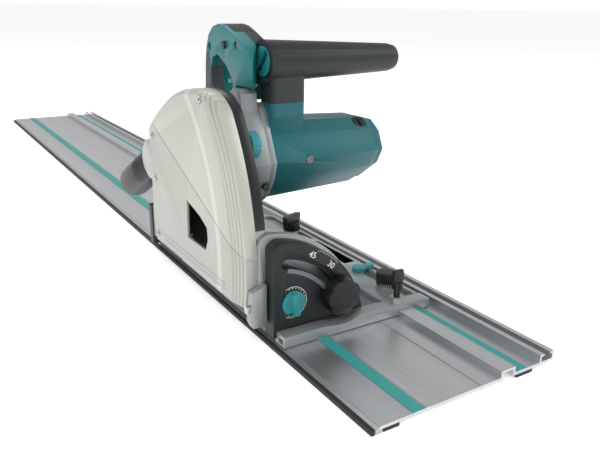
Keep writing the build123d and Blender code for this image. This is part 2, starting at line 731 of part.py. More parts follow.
arm_profile = polygon((215, 45), (250, 44), (262, 46.9), (262, 73.1), (250, 78), (215, 100))
pivot_boss_x = 12.0
with BuildPart() as blade_case:
    with BuildSketch(side(case_split)):
        add(case_profile())
    extrude(amount=case_right - case_split)
    with BuildSketch(side(case_split)):
        add(inner_profile)
    extrude(amount=case_right - right_wall - case_split, mode=Mode.SUBTRACT)
    # inner cheek for the dust nozzle, rear arm and boss for the plunge pivot
    with BuildSketch(side(case_right - right_wall - 0.9)):
        with Locations(hub):
            Circle(cheek_r)
    extrude(amount=right_wall + 0.9)
    with BuildSketch(side(case_right - right_wall)):
        add(arm_profile)
        with Locations(pivot):
            Circle(boss_r)
    extrude(amount=right_wall)
    with BuildSketch(side(case_right)):
        with Locations(pivot):
            Circle(boss_r)
    extrude(amount=pivot_boss_x - case_right)
    # bosses that take the cover screws
    with BuildSketch(side(case_split)):
        with Locations(*[(at(u), z) for u, z in cover_screw_places]):
            Circle(cover_post_r)
    extrude(amount=case_right - case_split)
    with BuildSketch(side(case_split)):
        with Locations(*[(at(u), z) for u, z in cover_screw_places]):
            Circle(cover_screw_r)
    extrude(amount=case_right - case_split - 1.0, mode=Mode.SUBTRACT)
    # arc slot for the spindle neck, open at the bottom
    with BuildSketch(side(case_split)):
        add(round_slot(pivot, swing_r, 2 * (neck_r + neck_clearance),
                       180 - raised_angle, 180 + plunge_travel - raised_angle + 3))
    extrude(amount=case_right - case_split + 1, mode=Mode.SUBTRACT)
    # round seat of the nozzle's hub
    with BuildSketch(side(case_split - 1)):
        with Locations(hub):
            Circle(drum_r + 0.5)
    extrude(amount=drum_x[1] + 0.3 - case_split + 1, mode=Mode.SUBTRACT)
    # flat at the front where the tilt bracket seats
    with BuildSketch(side(case_split)):
        with Locations((at(case_front_u), band_end_z)):
            Rectangle(30, 90, align=(Align.MAX, Align.MAX))
    extrude(amount=case_right - case_split, mode=Mode.SUBTRACT)
    with BuildSketch(side(case_split)):
        with Locations(pivot):
            Circle(pivot_r)
    extrude(amount=30, mode=Mode.SUBTRACT)
    with BuildSketch(side(case_split)):
        with Locations(*[(at(bracket_screw_u), z) for z in bracket_screw_z]):
            Circle(bracket_screw_r + running_gap)
    extrude(amount=30, mode=Mode.SUBTRACT)
    # mouth that the blade drops through
    with BuildSketch(side(case_split - 1)):
        with Locations((at(blade_mouth_u[0]), case_bottom - 1)):
            Rectangle(blade_mouth_u[1] - blade_mouth_u[0], case_wall + 2, align=(Align.MIN, Align.MIN))
    extrude(amount=case_right - right_wall - case_split + 1, mode=Mode.SUBTRACT)
    # seat of the depth band
    with BuildSketch(side(case_split)):
        add(case_profile())
        add(case_profile(band_depth, band_depth, band_depth, 0), mode=Mode.SUBTRACT)
        with Locations((at(band_top_u), 0)):
            Rectangle(200, 300, align=(Align.MIN, Align.MIN), mode=Mode.SUBTRACT)
        with Locations((at(0), band_end_z)):
            Rectangle(200, 300, align=(Align.MIN, Align.MAX), mode=Mode.SUBTRACT)
    extrude(amount=case_right - case_split, mode=Mode.SUBTRACT)
finish(blade_case, "blade_case")

with BuildPart() as depth_band:
    with BuildSketch(side(case_split)):
        add(case_profile())
        add(case_profile(band_depth, band_depth, band_depth, 0), mode=Mode.SUBTRACT)
        with Locations((at(band_top_u), 0)):
            Rectangle(200, 300, align=(Align.MIN, Align.MIN), mode=Mode.SUBTRACT)
        with Locations((at(0), band_end_z + 4)):
            Rectangle(200, 300, align=(Align.MIN, Align.MAX), mode=Mode.SUBTRACT)
    extrude(amount=case_right - case_split)
finish(depth_band, "depth_band")

# ---------------------------------------------------------------- tilt brackets, bolts and clamps
bracket_r = quadrant_r + 3.5
bracket_bottom = 17.0
bracket_right = 80.0
foot_z = (19.0, 56.0)
foot_u = (21.5, 28.6)
foot_x = (-16.0, -0.4)
bracket_flange_u = 46.5
front_bolt = polar(cut_line, front_slot_r, front_bolt_angle)
rear_bolt = polar(cut_line, rear_slot_r, rear_bolt_angle)

with BuildPart() as front_tilt_bracket:
    with BuildSketch(facing(bracket_u[1])):
        with BuildLine():
            Polyline(
                (sqrt(bracket_r ** 2 - 26.0 ** 2), 26.0),
                (bracket_right, bracket_bottom),
                (case_split, bracket_bottom + 3),
                (case_split, band_end_z - 10),
            )
            RadiusArc((case_split, band_end_z - 10),
                      polar(cut_line, bracket_r, 86.0), 11.0)
            CenterArc(cut_line, bracket_r, 86.0, degrees(asin(26.0 / bracket_r)) - 86.0)
        make_face()
    extrude(amount=bracket_thickness)
    # foot in front of the cover and the lug that ties it to the plate
    with BuildSketch(facing(foot_u[1])):
        with BuildLine():
            Polyline((foot_x[0], foot_z[0] + 6), (foot_x[0] + 3, foot_z[0]), (foot_x[1], foot_z[0]),
                     (foot_x[1], foot_z[1]), (foot_x[0] + 2, foot_z[1] - 5), close=True)
        make_face()
    extrude(amount=foot_u[1] - foot_u[0])
    with BuildSketch(facing(bracket_u[1])):
        with Locations((case_split, foot_z[0] + 2)):
            Rectangle(foot_x[1] - case_split, foot_z[1] - foot_z[0] - 6, align=(Align.MIN, Align.MIN))
    extrude(amount=bracket_u[1] - foot_u[0])
    # flange bolted to the case's right wall
    with BuildSketch(side(case_right)):
        with Locations((at(bracket_u[1] - 1), bracket_screw_z[0] - 12)):
            Rectangle(bracket_flange_u - bracket_u[1] + 1, bracket_screw_z[1] - bracket_screw_z[0] + 22,
                      align=(Align.MIN, Align.MIN))
    extrude(amount=4.0)
    with BuildSketch(side(case_right - right_wall)):
        with Locations(*[(at(bracket_screw_u), z) for z in bracket_screw_z]):
            Circle(bracket_screw_r + running_gap)
    extrude(amount=10, mode=Mode.SUBTRACT)
    with BuildSketch(facing(bracket_u[1] + 1)):
        with Locations(front_bolt):
            Circle(bolt_r)
    extrude(amount=bracket_thickness + 2, mode=Mode.SUBTRACT)
    with BuildSketch(side(foot_x[0] - 1)):
        with Locations((at(25.0), 36.0)):
            Circle(2.5)
    extrude(amount=8, mode=Mode.SUBTRACT)
finish(front_tilt_bracket, "front_tilt_bracket")

rear_bracket_u = (rear_quadrant_u[0] - 0.6 - 8.0, rear_quadrant_u[0] - 0.6)
rear_bracket_top = 57.0
ear_x = (47.0, 53.0)
ear_front_u = pivot_u - 11.0
case_ear_x = (case_right, case_right + 5.0)
with BuildPart() as rear_tilt_bracket:
    with BuildSketch(facing(rear_bracket_u[1])):
        with BuildLine():
            Polyline((case_split, bracket_bottom + 3), (ear_x[1], bracket_bottom), (ear_x[1], 68),
                     (ear_x[0], 68), (ear_x[0] - 8, rear_bracket_top), (case_split, rear_bracket_top),
                     close=True)
        make_face()
    extrude(amount=rear_bracket_u[1] - rear_bracket_u[0])
    with BuildSketch(side(ear_x[0])):
        with BuildLine():
            Polyline((at(rear_bracket_u[1]), 30), (at(rear_bracket_u[1]), 68), (at(pivot_u), 71),
                     (at(ear_front_u), 65), (at(ear_front_u), 55), (at(pivot_u), 49), close=True)
        make_face()
    extrude(amount=ear_x[1] - ear_x[0])
    # lip that carries the case's arm
    with BuildSketch(side(case_right - right_wall - 4.0)):
        with BuildLine():
            Polyline((at(255.0), 24), (at(rear_bracket_u[0] + 1), 24), (at(rear_bracket_u[0] + 1), 70 - 14),
                     (at(pivot_u + 8), rear_bracket_top - 10), (at(255.0), 46), close=True)
        make_face()
    extrude(amount=4.0)
    with BuildSketch(side(ear_x[0] - 1)):
        with Locations(pivot):
            Circle(pivot_r)
    extrude(amount=10, mode=Mode.SUBTRACT)
    with BuildSketch(facing(rear_bracket_u[1] + 1)):
        with Locations(rear_bolt):
            Circle(bolt_r)
    extrude(amount=12, mode=Mode.SUBTRACT)
finish(rear_tilt_bracket, "rear_tilt_bracket")

knob_gap = face_gap
front_knob_u = (0.2, front_quadrant_u[0] - knob_gap)
rear_knob_u = (rear_quadrant_u[1] + knob_gap, rear_quadrant_u[1] + knob_gap + 13.0)
bolt_head_t = 3.0
with BuildPart() as clamp_bolts:
    with BuildSketch(facing(bracket_u[1] + bolt_head_t)):
        with Locations(front_bolt):
            Circle(bolt_r + 2.6)
    extrude(amount=bolt_head_t)
    with BuildSketch(facing(bracket_u[1] + bolt_head_t)):
        with Locations(front_bolt):
            Circle(bolt_r)
    extrude(amount=bracket_u[1] + bolt_head_t - front_knob_u[0] - 4)
    with BuildSketch(facing(rear_bracket_u[0])):
        with Locations(rear_bolt):
            Circle(bolt_r + 2.6)
    extrude(amount=bolt_head_t)
    with BuildSketch(facing(rear_knob_u[1] - 4)):
        with Locations(rear_bolt):
            Circle(bolt_r)
    extrude(amount=rear_knob_u[1] - 4 - rear_bracket_u[0] + bolt_head_t)
finish(clamp_bolts, "clamp_bolts")

front_knob_r = 16.5
rear_knob_r = 11.5
for knob_name, knob_place, knob_span, knob_r in (
        ("front_clamp_knob", front_bolt, front_knob_u, front_knob_r),
        ("rear_clamp_knob", rear_bolt, rear_knob_u, rear_knob_r)):
    with BuildPart() as clamp_knob:
        with BuildSketch(facing(knob_span[1])):
            with Locations(knob_place):
                Circle(knob_r)
                with PolarLocations(knob_r + 5.0, 7):
                    Circle(6.6, mode=Mode.SUBTRACT)
        extrude(amount=knob_span[1] - knob_span[0])
        if knob_name == "front_clamp_knob":
            with BuildSketch(facing(knob_span[1])):
                with Locations(knob_place):
                    Circle(bolt_r + running_gap)
            extrude(amount=knob_span[1] - knob_span[0] - 3.6, mode=Mode.SUBTRACT)
        else:
            with BuildSketch(facing(knob_span[1] - 3.6)):
                with Locations(knob_place):
                    Circle(bolt_r + running_gap)
            extrude(amount=30, mode=Mode.SUBTRACT)
    finish(clamp_knob, knob_name)

cover_screw_head = 3.2
with BuildPart() as cover_screws:
    for screw_u, screw_z in cover_screw_places:
        with BuildSketch(side(case_left + screw_seat)):
            with Locations((at(screw_u), screw_z)):
                Circle(cover_screw_head)
        extrude(amount=-2.2)
        with BuildSketch(side(case_left + screw_seat)):
            with Locations((at(screw_u), screw_z)):
                Circle(cover_screw_r)
        extrude(amount=case_right - 1.5 - case_left - screw_seat)
    with BuildSketch(side(case_right - right_wall + 0.1)):
        with Locations(*[(at(bracket_screw_u), z) for z in bracket_screw_z]):
            Circle(bracket_screw_r)
    extrude(amount=right_wall + 5)
    with BuildSketch(side(case_right + 4.0)):
        with Locations(*[(at(bracket_screw_u), z) for z in bracket_screw_z]):
            Circle(3.6)
    extrude(amount=2.6)
    with BuildSketch(side(foot_x[0] - 2.2)):
        with Locations((at(25.0), 36.0)):
            Circle(3.4)
    extrude(amount=2.2)
    with BuildSketch(side(foot_x[0])):
        with Locations((at(25.0), 36.0)):
            Circle(2.45)
    extrude(amount=6.5)
finish(cover_screws, "cover_screws")

with BuildPart() as pivot_shaft:
    with BuildSketch(side(case_right - right_wall)):
        with Locations(pivot):
            Circle(pivot_r)
    extrude(amount=ear_x[1] + 3.0 - case_right + right_wall)
    with BuildSketch(side(ear_x[1])):
        with Locations(pivot):
            Circle(pivot_r + 3)
    extrude(amount=3.0)
finish(pivot_shaft, "pivot_shaft")

spring_x = (pivot_boss_x + 1.2, 25.6)
spring_wire = 1.8
spring_r = 8.0
spring_turns = 4
with BuildPart() as return_spring:
    with BuildLine() as coil:
        Helix((spring_x[1] - spring_x[0] - spring_wire) / spring_turns,
              spring_x[1] - spring_x[0] - spring_wire, spring_r,
              center=(spring_x[0] + spring_wire / 2, pivot[0], pivot[1]), direction=(1, 0, 0))
    with BuildSketch(Plane(origin=coil.line @ 0, z_dir=coil.line % 0)):
        Circle(spring_wire / 2)
    sweep(is_frenet=True)
finish(return_spring, "return_spring")

# ---------------------------------------------------------------- depth stopper
stop_pin_u = 126.0
stop_pin_z = 190.0
stop_pin_r = 4.0
stop_pin_x = (9.0, 41.0)
stop_radius = hypot(pivot_u - stop_pin_u, stop_pin_z - pivot_z)
stop_pin_angle = degrees(atan2(stop_pin_z - pivot_z, pivot_u - stop_pin_u))
stop_angle = stop_pin_angle - plunge_travel - degrees((stop_pin_r + face_gap) / stop_radius)
shoe_x = (case_right + 0.2, 8.0)
shoe_r = (198.0, 211.0)
shoe_top_angle = 32.0
stop_block = 3.6            # degrees
stop_knob_r = 11.5
stop_knob_angle = 28.5
stop_knob_radius = 215.5
stop_knob_x = (8.3, 16.0)

with BuildPart() as stopper_shoe:
    with BuildSketch(side(shoe_x[0])):
        add(ring_sector(pivot, shoe_r[0], shoe_r[1], 180 - shoe_top_angle, 180 - stop_angle + stop_block))
        add(ring_sector(pivot, stop_radius - 9, shoe_r[1], 180 - stop_angle, 180 - stop_angle + stop_block))
        with Locations(pivot_polar(stop_knob_radius, stop_knob_angle)):
            Circle(7.0)
    extrude(amount=shoe_x[1] - shoe_x[0])
    with BuildSketch(side(shoe_x[0])):
        add(ring_sector(pivot, stop_radius - 9, stop_radius + 11, 180 - stop_angle,
                        180 - stop_angle + stop_block))
    extrude(amount=17.0 - shoe_x[0])
    with BuildSketch(side(shoe_x[1])):
        with Locations(pivot_polar(stop_knob_radius, stop_knob_angle)):
            Circle(3.0)
    extrude(amount=stop_knob_x[1] - 3 - shoe_x[1])
finish(stopper_shoe, "stopper_shoe")

with BuildPart() as stopper_knob:
    with BuildSketch(side(stop_knob_x[0])):
        with Locations(pivot_polar(stop_knob_radius, stop_knob_angle)):
            Circle(stop_knob_r)
            with PolarLocations(stop_knob_r + 0.6, 20):
                Circle(1.1, mode=Mode.SUBTRACT)
    extrude(amount=stop_knob_x[1] - stop_knob_x[0])
    with BuildSketch(side(stop_knob_x[0] - 1)):
        with Locations(pivot_polar(stop_knob_radius, stop_knob_angle)):
            Circle(3.0 + running_gap)
    extrude(amount=stop_knob_x[1] - 2.8 - stop_knob_x[0] + 1, mode=Mode.SUBTRACT)
finish(stopper_knob, "stopper_knob")

# ---------------------------------------------------------------- dust nozzle
drum_mid = sum(drum_x) / 2
drum_width = drum_x[1] - drum_x[0]
nozzle_plane = Plane(origin=(drum_mid, hub[0], hub[1]), x_dir=(1, 0, 0),
                     z_dir=(0, cos(radians(nozzle_drop)), -sin(radians(nozzle_drop))))
throat_start = 22.5
throat_end = 46.0
nozzle_wall = 2.4
with BuildPart() as dust_nozzle:
    with BuildSketch(side(drum_x[0])):
        with Locations(hub):
            Circle(drum_r)
    extrude(amount=drum_width)
    with BuildSketch(nozzle_plane):
        Rectangle(drum_width, 32.0)
    extrude(amount=throat_start)
    with BuildSketch(nozzle_plane.offset(throat_start)):
        Rectangle(drum_width, 32.0)
    with BuildSketch(nozzle_plane.offset(throat_end)):
        Circle(nozzle_r)
    loft()
    with BuildSketch(nozzle_plane.offset(throat_end)):
        Circle(nozzle_r)
    extrude(amount=nozzle_length - throat_end)
    with BuildSketch(nozzle_plane.offset(-drum_r - 1)):
        Rectangle(drum_width - 2 * nozzle_wall, 24.0)
    extrude(amount=throat_start + drum_r + 1, mode=Mode.SUBTRACT)
    with BuildSketch(nozzle_plane.offset(throat_start)):
        Rectangle(drum_width - 2 * nozzle_wall, 24.0)
    with BuildSketch(nozzle_plane.offset(throat_end)):
        Circle(nozzle_r - nozzle_wall)
    loft(mode=Mode.SUBTRACT)
    with BuildSketch(nozzle_plane.offset(throat_end)):
        Circle(nozzle_r - nozzle_wall)
    extrude(amount=nozzle_length - throat_end, mode=Mode.SUBTRACT)
finish(dust_nozzle, "dust_nozzle")

# ---------------------------------------------------------------- gear housing and bearing plate
housing_x = (27.0, 44.0)
plate_x = (44.0, 50.0)
neck_x = 3.0
gear_x = (31.0, 40.0)
gear_cavity_x = 30.0
gear_tip_r = gear_pitch_r + 0.8 * gear_module
gear_root_r = gear_pitch_r - 1.2 * gear_module
pinion_tip_r = pinion_pitch_r + 0.8 * gear_module
pinion_root_r = pinion_pitch_r - 1.15 * gear_module
cavity_gap = 0.65
gear_cavity_r = gear_tip_r + cavity_gap
housing_foot_r = gear_cavity_r + 2.0
spindle_bearing = (14.0, 5.0, 14.0)          # outer radius, from, to
spindle_end_bearing = (9.0, 44.2, 48.6)
motor_bearing = (10.4, 44.6, 50.0)
motor_end_bearing = (9.5, 174.5, 181.5)
arm_x = (27.0, 45.5)
arm_r = 11.5
lug_x = (25.0, 41.5)
lug_top = 203.0
lock_x = 42.0
lock_z = blade_z
lock_pin_r = 1.8
lock_button_r = 3.6
lock_button_u = (97.9, 100.9)
lock_pocket_u = 103.6
lock_travel = 2.5
housing_points = ((92, 138), (113, 184), (120, 190), (150, 190), (176, 176), (188, 152), (190, 128),
                  (176, 104), (150, 96), (122, 97), (108, 104), (97, 122))

with BuildPart() as gear_housing:
    with BuildSketch(side(housing_x[0])):
        add(polygon(*housing_points))
        with Locations(blade_centre):
            Circle(housing_foot_r)
    extrude(amount=housing_x[1] - housing_x[0])
    # arm that swings on the plunge pivot
    with BuildSketch(side(arm_x[0])):
        add(polygon((165, 100), (pivot_u - 4, pivot_z - 10.8), (pivot_u + 6, pivot_z + 9.8), (186, 146)))
        with Locations(pivot):
            Circle(arm_r)
    extrude(amount=housing_x[1] - arm_x[0])
    with BuildSketch(side(housing_x[1])):
        with Locations(pivot):
            Circle(arm_r)
    extrude(amount=arm_x[1] - housing_x[1])
    with BuildSketch(side(neck_x)):
        with Locations(blade_centre):
            Circle(neck_r)
    extrude(amount=housing_x[0] - neck_x)
    # lug that holds the stop pin
    with BuildSketch(side(lug_x[0])):
        add(polygon((112, 176), (115, lug_top - 4), (119, lug_top), (130, lug_top), (134, lug_top - 4),
                    (137, 176)))
    extrude(amount=lug_x[1] - lug_x[0])
    with BuildSketch(side(lug_x[0] - 1)):
        with Locations((at(stop_pin_u), stop_pin_z)):
            Circle(stop_pin_r + running_gap)
    extrude(amount=30, mode=Mode.SUBTRACT)
    # gear room, open towards the bearing plate
    with BuildSketch(side(gear_cavity_x)):
        with Locations(blade_centre):
            Circle(gear_cavity_r)
        with Locations(motor_centre):
            Circle(pinion_tip_r + 1.2)
    extrude(amount=20, mode=Mode.SUBTRACT)
    with BuildSketch(side(neck_x - 1)):
        with Locations(blade_centre):
            Circle(spindle_bearing[0])
    extrude(amount=spindle_bearing[2] - neck_x + 1, mode=Mode.SUBTRACT)
    with BuildSketch(side(neck_x)):
        with Locations(blade_centre):
            Circle(spindle_r + 1.5)
    extrude(amount=30, mode=Mode.SUBTRACT)
    with BuildSketch(side(arm_x[0] - 1)):
        with Locations(pivot):
            Circle(pivot_r + running_gap)
    extrude(amount=30, mode=Mode.SUBTRACT)
    # guide of the spindle lock, from the front
    with BuildSketch(facing(lock_pocket_u)):
        with Locations((lock_x, lock_z)):
            Circle(lock_button_r + 0.3)
    extrude(amount=40, mode=Mode.SUBTRACT)
    with BuildSketch(facing(blade_u - 10)):
        with Locations((lock_x, lock_z)):
            Circle(lock_pin_r + running_gap)
    extrude(amount=40, mode=Mode.SUBTRACT)
finish(gear_housing, "gear_housing")

with BuildPart() as bearing_plate:
    with BuildSketch(side(plate_x[0])):
        add(polygon(*housing_points))
        with Locations(blade_centre):
            Circle(housing_foot_r)
    extrude(amount=plate_x[1] - plate_x[0])
    with BuildSketch(side(plate_x[0])):
        with Locations((at(stop_pin_u), stop_pin_z)):
            Circle(stop_pin_r + running_gap)
    extrude(amount=20, mode=Mode.SUBTRACT)
    with BuildSketch(side(plate_x[0])):
        with Locations(blade_centre):
            Circle(spindle_end_bearing[0])
    extrude(amount=spindle_end_bearing[2] - plate_x[0], mode=Mode.SUBTRACT)
    with BuildSketch(side(motor_bearing[1])):
        with Locations(motor_centre):
            Circle(motor_bearing[0])
    extrude(amount=20, mode=Mode.SUBTRACT)
    with BuildSketch(side(plate_x[0])):
        with Locations(motor_centre):
            Circle(shaft_r + 1.0)
    extrude(amount=20, mode=Mode.SUBTRACT)
    with BuildSketch(facing(lock_pocket_u)):
        with Locations((lock_x, lock_z)):
            Circle(lock_button_r + 0.3)
    extrude(amount=40, mode=Mode.SUBTRACT)
finish(bearing_plate, "bearing_plate")

# ---------------------------------------------------------------- motor housing
motor_section = ((94, 138), (104, 118.5), (143, 90.5), (158, 88.5), (180, 104), (188, 131),
                 (178, 158), (160, 172), (122, 172), (104, 160))
motor_screw = (88.0, 137.0, 97.6)
motor_screw_r = 1.6
# size of the section along the motor, as (X, share of the section at the plate)
motor_profile = ((plate_x[1], 1.0), (168.0, 0.88), (177.0, 0.8), (184.0, 0.67), (190.0, 0.5),
                 (motor_end_x, 0.35))
motor_inside = ((plate_x[1], 0.94), (168.0, 0.827), (176.0, 0.745), (182.0, 0.61), (187.6, 0.44),
                (motor_end_x - 3.6, 0.33))
frame_share = 0.97
stator_x = (74.0, 133.0)
stator_r = 27.0
stator_bore = 16.6
core_r = 16.0
core_x = (82.0, 126.0)
commutator_x = (150.0, 172.0)
commutator_r = 12.0
brush_x = 161.0
brush_angle = 124.5
brush_cap_r = 8.0
brush_cap_reach = (35.0, 39.3)
pedestal_x = (50.0, 86.0)
pedestal_u = (101.0, 127.0)
pedestal_top = 190.4
speed_dial_r = 9.0
speed_dial_place = (motor_u, motor_z)
speed_dial_x = (motor_end_x - 2.2, motor_end_x + 1.8)


def motor_scale(x):
    """Size of the motor housing's section at x, as a share of its section at the bearing plate."""
    share = motor_profile[-1][1]
    for (x_from, share_from), (x_to, share_to) in zip(motor_profile, motor_profile[1:]):
        if x_from <= x <= x_to:
            share = share_from + (share_to - share_from) * (x - x_from) / (x_to - x_from)
    return share


def motor_outline(scale):
    """Faceted cross-section of the motor housing, scaled about the motor's axis."""
    return polygon(*[(motor_u + (u - motor_u) * scale, motor_z + (z - motor_z) * scale)
                     for u, z in motor_section])


brush_plane = Plane(origin=(brush_x, motor_centre[0], motor_centre[1]), x_dir=(1, 0, 0),
                    z_dir=(0, cos(radians(brush_angle)), sin(radians(brush_angle))))
with BuildPart() as motor_housing:
    # pedestal under the front grip, sloped back to meet the motor's upper facet
    with BuildSketch(level(motor_z + 20)):
        with Locations((sum(pedestal_x) / 2, at(sum(pedestal_u) / 2))):
            RectangleRounded(pedestal_x[1] - pedestal_x[0], pedestal_u[1] - pedestal_u[0], 6)
    extrude(amount=pedestal_top - motor_z - 20)
    with BuildSketch(side(pedestal_x[0] - 1)):
        add(polygon((pedestal_u[0] - 1, 150), (pedestal_u[0] - 1, 181), (104.5, 172), (108.5, 162), (112, 150)))
    extrude(amount=pedestal_x[1] - pedestal_x[0] + 2, mode=Mode.SUBTRACT)
    for (x_from, share_from), (x_to, share_to) in zip(motor_profile, motor_profile[1:]):
        with BuildSketch(side(x_from)):
            add(motor_outline(share_from))
        with BuildSketch(side(x_to)):
            add(motor_outline(share_to))
        loft(ruled=True)
    for (x_from, share_from), (x_to, share_to) in zip(motor_inside, motor_inside[1:]):
        with BuildSketch(side(x_from)):
            add(motor_outline(share_from))
        with BuildSketch(side(x_to)):
            add(motor_outline(share_to))
        loft(ruled=True, mode=Mode.SUBTRACT)
    # two frames hold the field, a web holds the end bearing
    for frame_x in (stator_x[0] + 3, stator_x[1] - 7):
        with BuildSketch(side(frame_x)):
            add(motor_outline(motor_scale(frame_x) * frame_share))
            with Locations(motor_centre):
                Circle(stator_r, mode=Mode.SUBTRACT)
        extrude(amount=4)
    with BuildSketch(side(motor_end_bearing[1])):
        add(motor_outline(motor_scale(motor_end_bearing[1]) * frame_share))
        with Locations(motor_centre):
            Circle(motor_end_bearing[0], mode=Mode.SUBTRACT)
    extrude(amount=motor_end_bearing[2] - motor_end_bearing[1])
    # screw recess on the front crease
    with BuildSketch(facing(motor_screw[2])):
        with Locations(motor_screw[:2]):
            Circle(4.2)
    extrude(amount=20, mode=Mode.SUBTRACT)
    with BuildSketch(facing(motor_screw[2] + 6)):
        with Locations(motor_screw[:2]):
            Circle(motor_screw_r + running_gap)
    extrude(amount=20, mode=Mode.SUBTRACT)
    # brush caps
    for turn in (1, -1):
        with BuildSketch(brush_plane):
            Circle(brush_cap_r + running_gap)
        extrude(amount=turn * 60, mode=Mode.SUBTRACT)
    with BuildSketch(side(speed_dial_x[0] - face_gap)):
        with Locations((at(speed_dial_place[0]), speed_dial_place[1])):
            Circle(speed_dial_r + 0.3)
    extrude(amount=10, mode=Mode.SUBTRACT)
    with BuildSketch(side(motor_inside[-1][0] - 1)):
        with Locations((at(speed_dial_place[0]), speed_dial_place[1])):
            Circle(2.5 + running_gap)
    extrude(amount=10, mode=Mode.SUBTRACT)
finish(motor_housing, "motor_housing")

with BuildPart() as brush_caps:
    for turn in (1, -1):
        with BuildSketch(brush_plane.offset(turn * brush_cap_reach[0])):
            Circle(brush_cap_r)
        extrude(amount=turn * (brush_cap_reach[1] - brush_cap_reach[0]))
        with BuildSketch(brush_plane.offset(turn * (brush_cap_reach[1] - 1.6))):
            Rectangle(2.0, 11.0)
        extrude(amount=turn * 4, mode=Mode.SUBTRACT)
finish(brush_caps, "brush_caps")

brush_size = (8.0, 6.0)
with BuildPart() as carbon_brushes:
    for turn in (1, -1):
        with BuildSketch(brush_plane.offset(turn * (commutator_r + 0.1))):
            Rectangle(*brush_size)
        extrude(amount=turn * (brush_cap_reach[0] - commutator_r - 0.1))
finish(carbon_brushes, "carbon_brushes")

with BuildPart() as field_stator:
    with BuildSketch(side(stator_x[0])):
        with Locations(motor_centre):
            Circle(stator_r)
            Circle(stator_bore, mode=Mode.SUBTRACT)
    extrude(amount=stator_x[1] - stator_x[0])
    # two coils in the gaps between the poles
    with BuildSketch(side(stator_x[0])):
        with Locations(motor_centre):
            with PolarLocations(stator_bore + 4.5, 2, start_angle=0):
                SlotOverall(13, 5.0, rotation=90)
    extrude(amount=-5)
finish(field_stator, "field_stator")

with BuildPart() as armature_bearings:
    for outer, bearing_from, bearing_to in (motor_bearing, motor_end_bearing):
        add(tube_x(motor_u, motor_z, outer, shaft_r, bearing_from, bearing_to))
finish(armature_bearings, "armature_bearings")

spindle_end_r = 5.0
with BuildPart() as spindle_bearings:
    add(tube_x(blade_u, blade_z, spindle_bearing[0], spindle_r, spindle_bearing[1], spindle_bearing[2]))
    add(tube_x(blade_u, blade_z, spindle_end_bearing[0], spindle_end_r, spindle_end_bearing[1],
               spindle_end_bearing[2]))
finish(spindle_bearings, "spindle_bearings")

# ---------------------------------------------------------------- rear handle
handle_left = handle_x - handle_width / 2
handle_right = handle_x + handle_width / 2
handle_floor = 204.5
handle_outline = ((104, 204.5), (103, 211), (105, 226), (112, 235), (125, 242.5), (146, 251), (160, 256),
                  (172, 257.5), (185, 254.5), (195, 247), (201, 235), (204, 220), (206, 196), (203, 184),
                  (190, 176), (176, 176), (150, 190), (137, 190), (137, 204.5))
opening_outline = ((143, 204), (148, 212), (160, 222.5), (176, 229.5), (187, 226), (191, 214), (190, 200),
                   (180, 194), (156, 196.5), (145, 199))
switch_room = ((150.5, 209), (150, 240), (162, 249), (178, 249), (188, 240), (188, 226))
switch_room_width = 16.6
trigger_hinge = (183.0, 231.0)
trigger_pin_r = 2.0
lock_off_place = (160.0, 239.0)
lock_off_r = 3.6
lever_pivot = (154.0, 192.6)
lever_pin_r = 1.8
lever_slot = ((149, 190.4), (149, 201), (159.5, 201), (159.5, 187.8))
lever_slot_width = 9.6
handle_screws_at = ((137, 240), (193, 236), (186, 186))
handle_screw_r = 2.0
handle_screw_head_r = 3.6
inlet_place = (206.0, 190.0)
overmould_inset = 3.5
overmould_outer = ((128, 243.71), (146, 251), (160, 256), (172, 257.5), (185, 254.5), (195, 247), (201, 235),
                   (204, 220), (205.4, 202))
overmould_inner = ((203.4, 202), (202, 219.8), (199.1, 234.4), (193.5, 245.5), (184.1, 252.6),
                   (172.1, 255.4), (160.5, 254.0), (146.7, 249.1), (128.8, 241.8))
inlet_r = 8.0
inlet_neck_r = 5.0


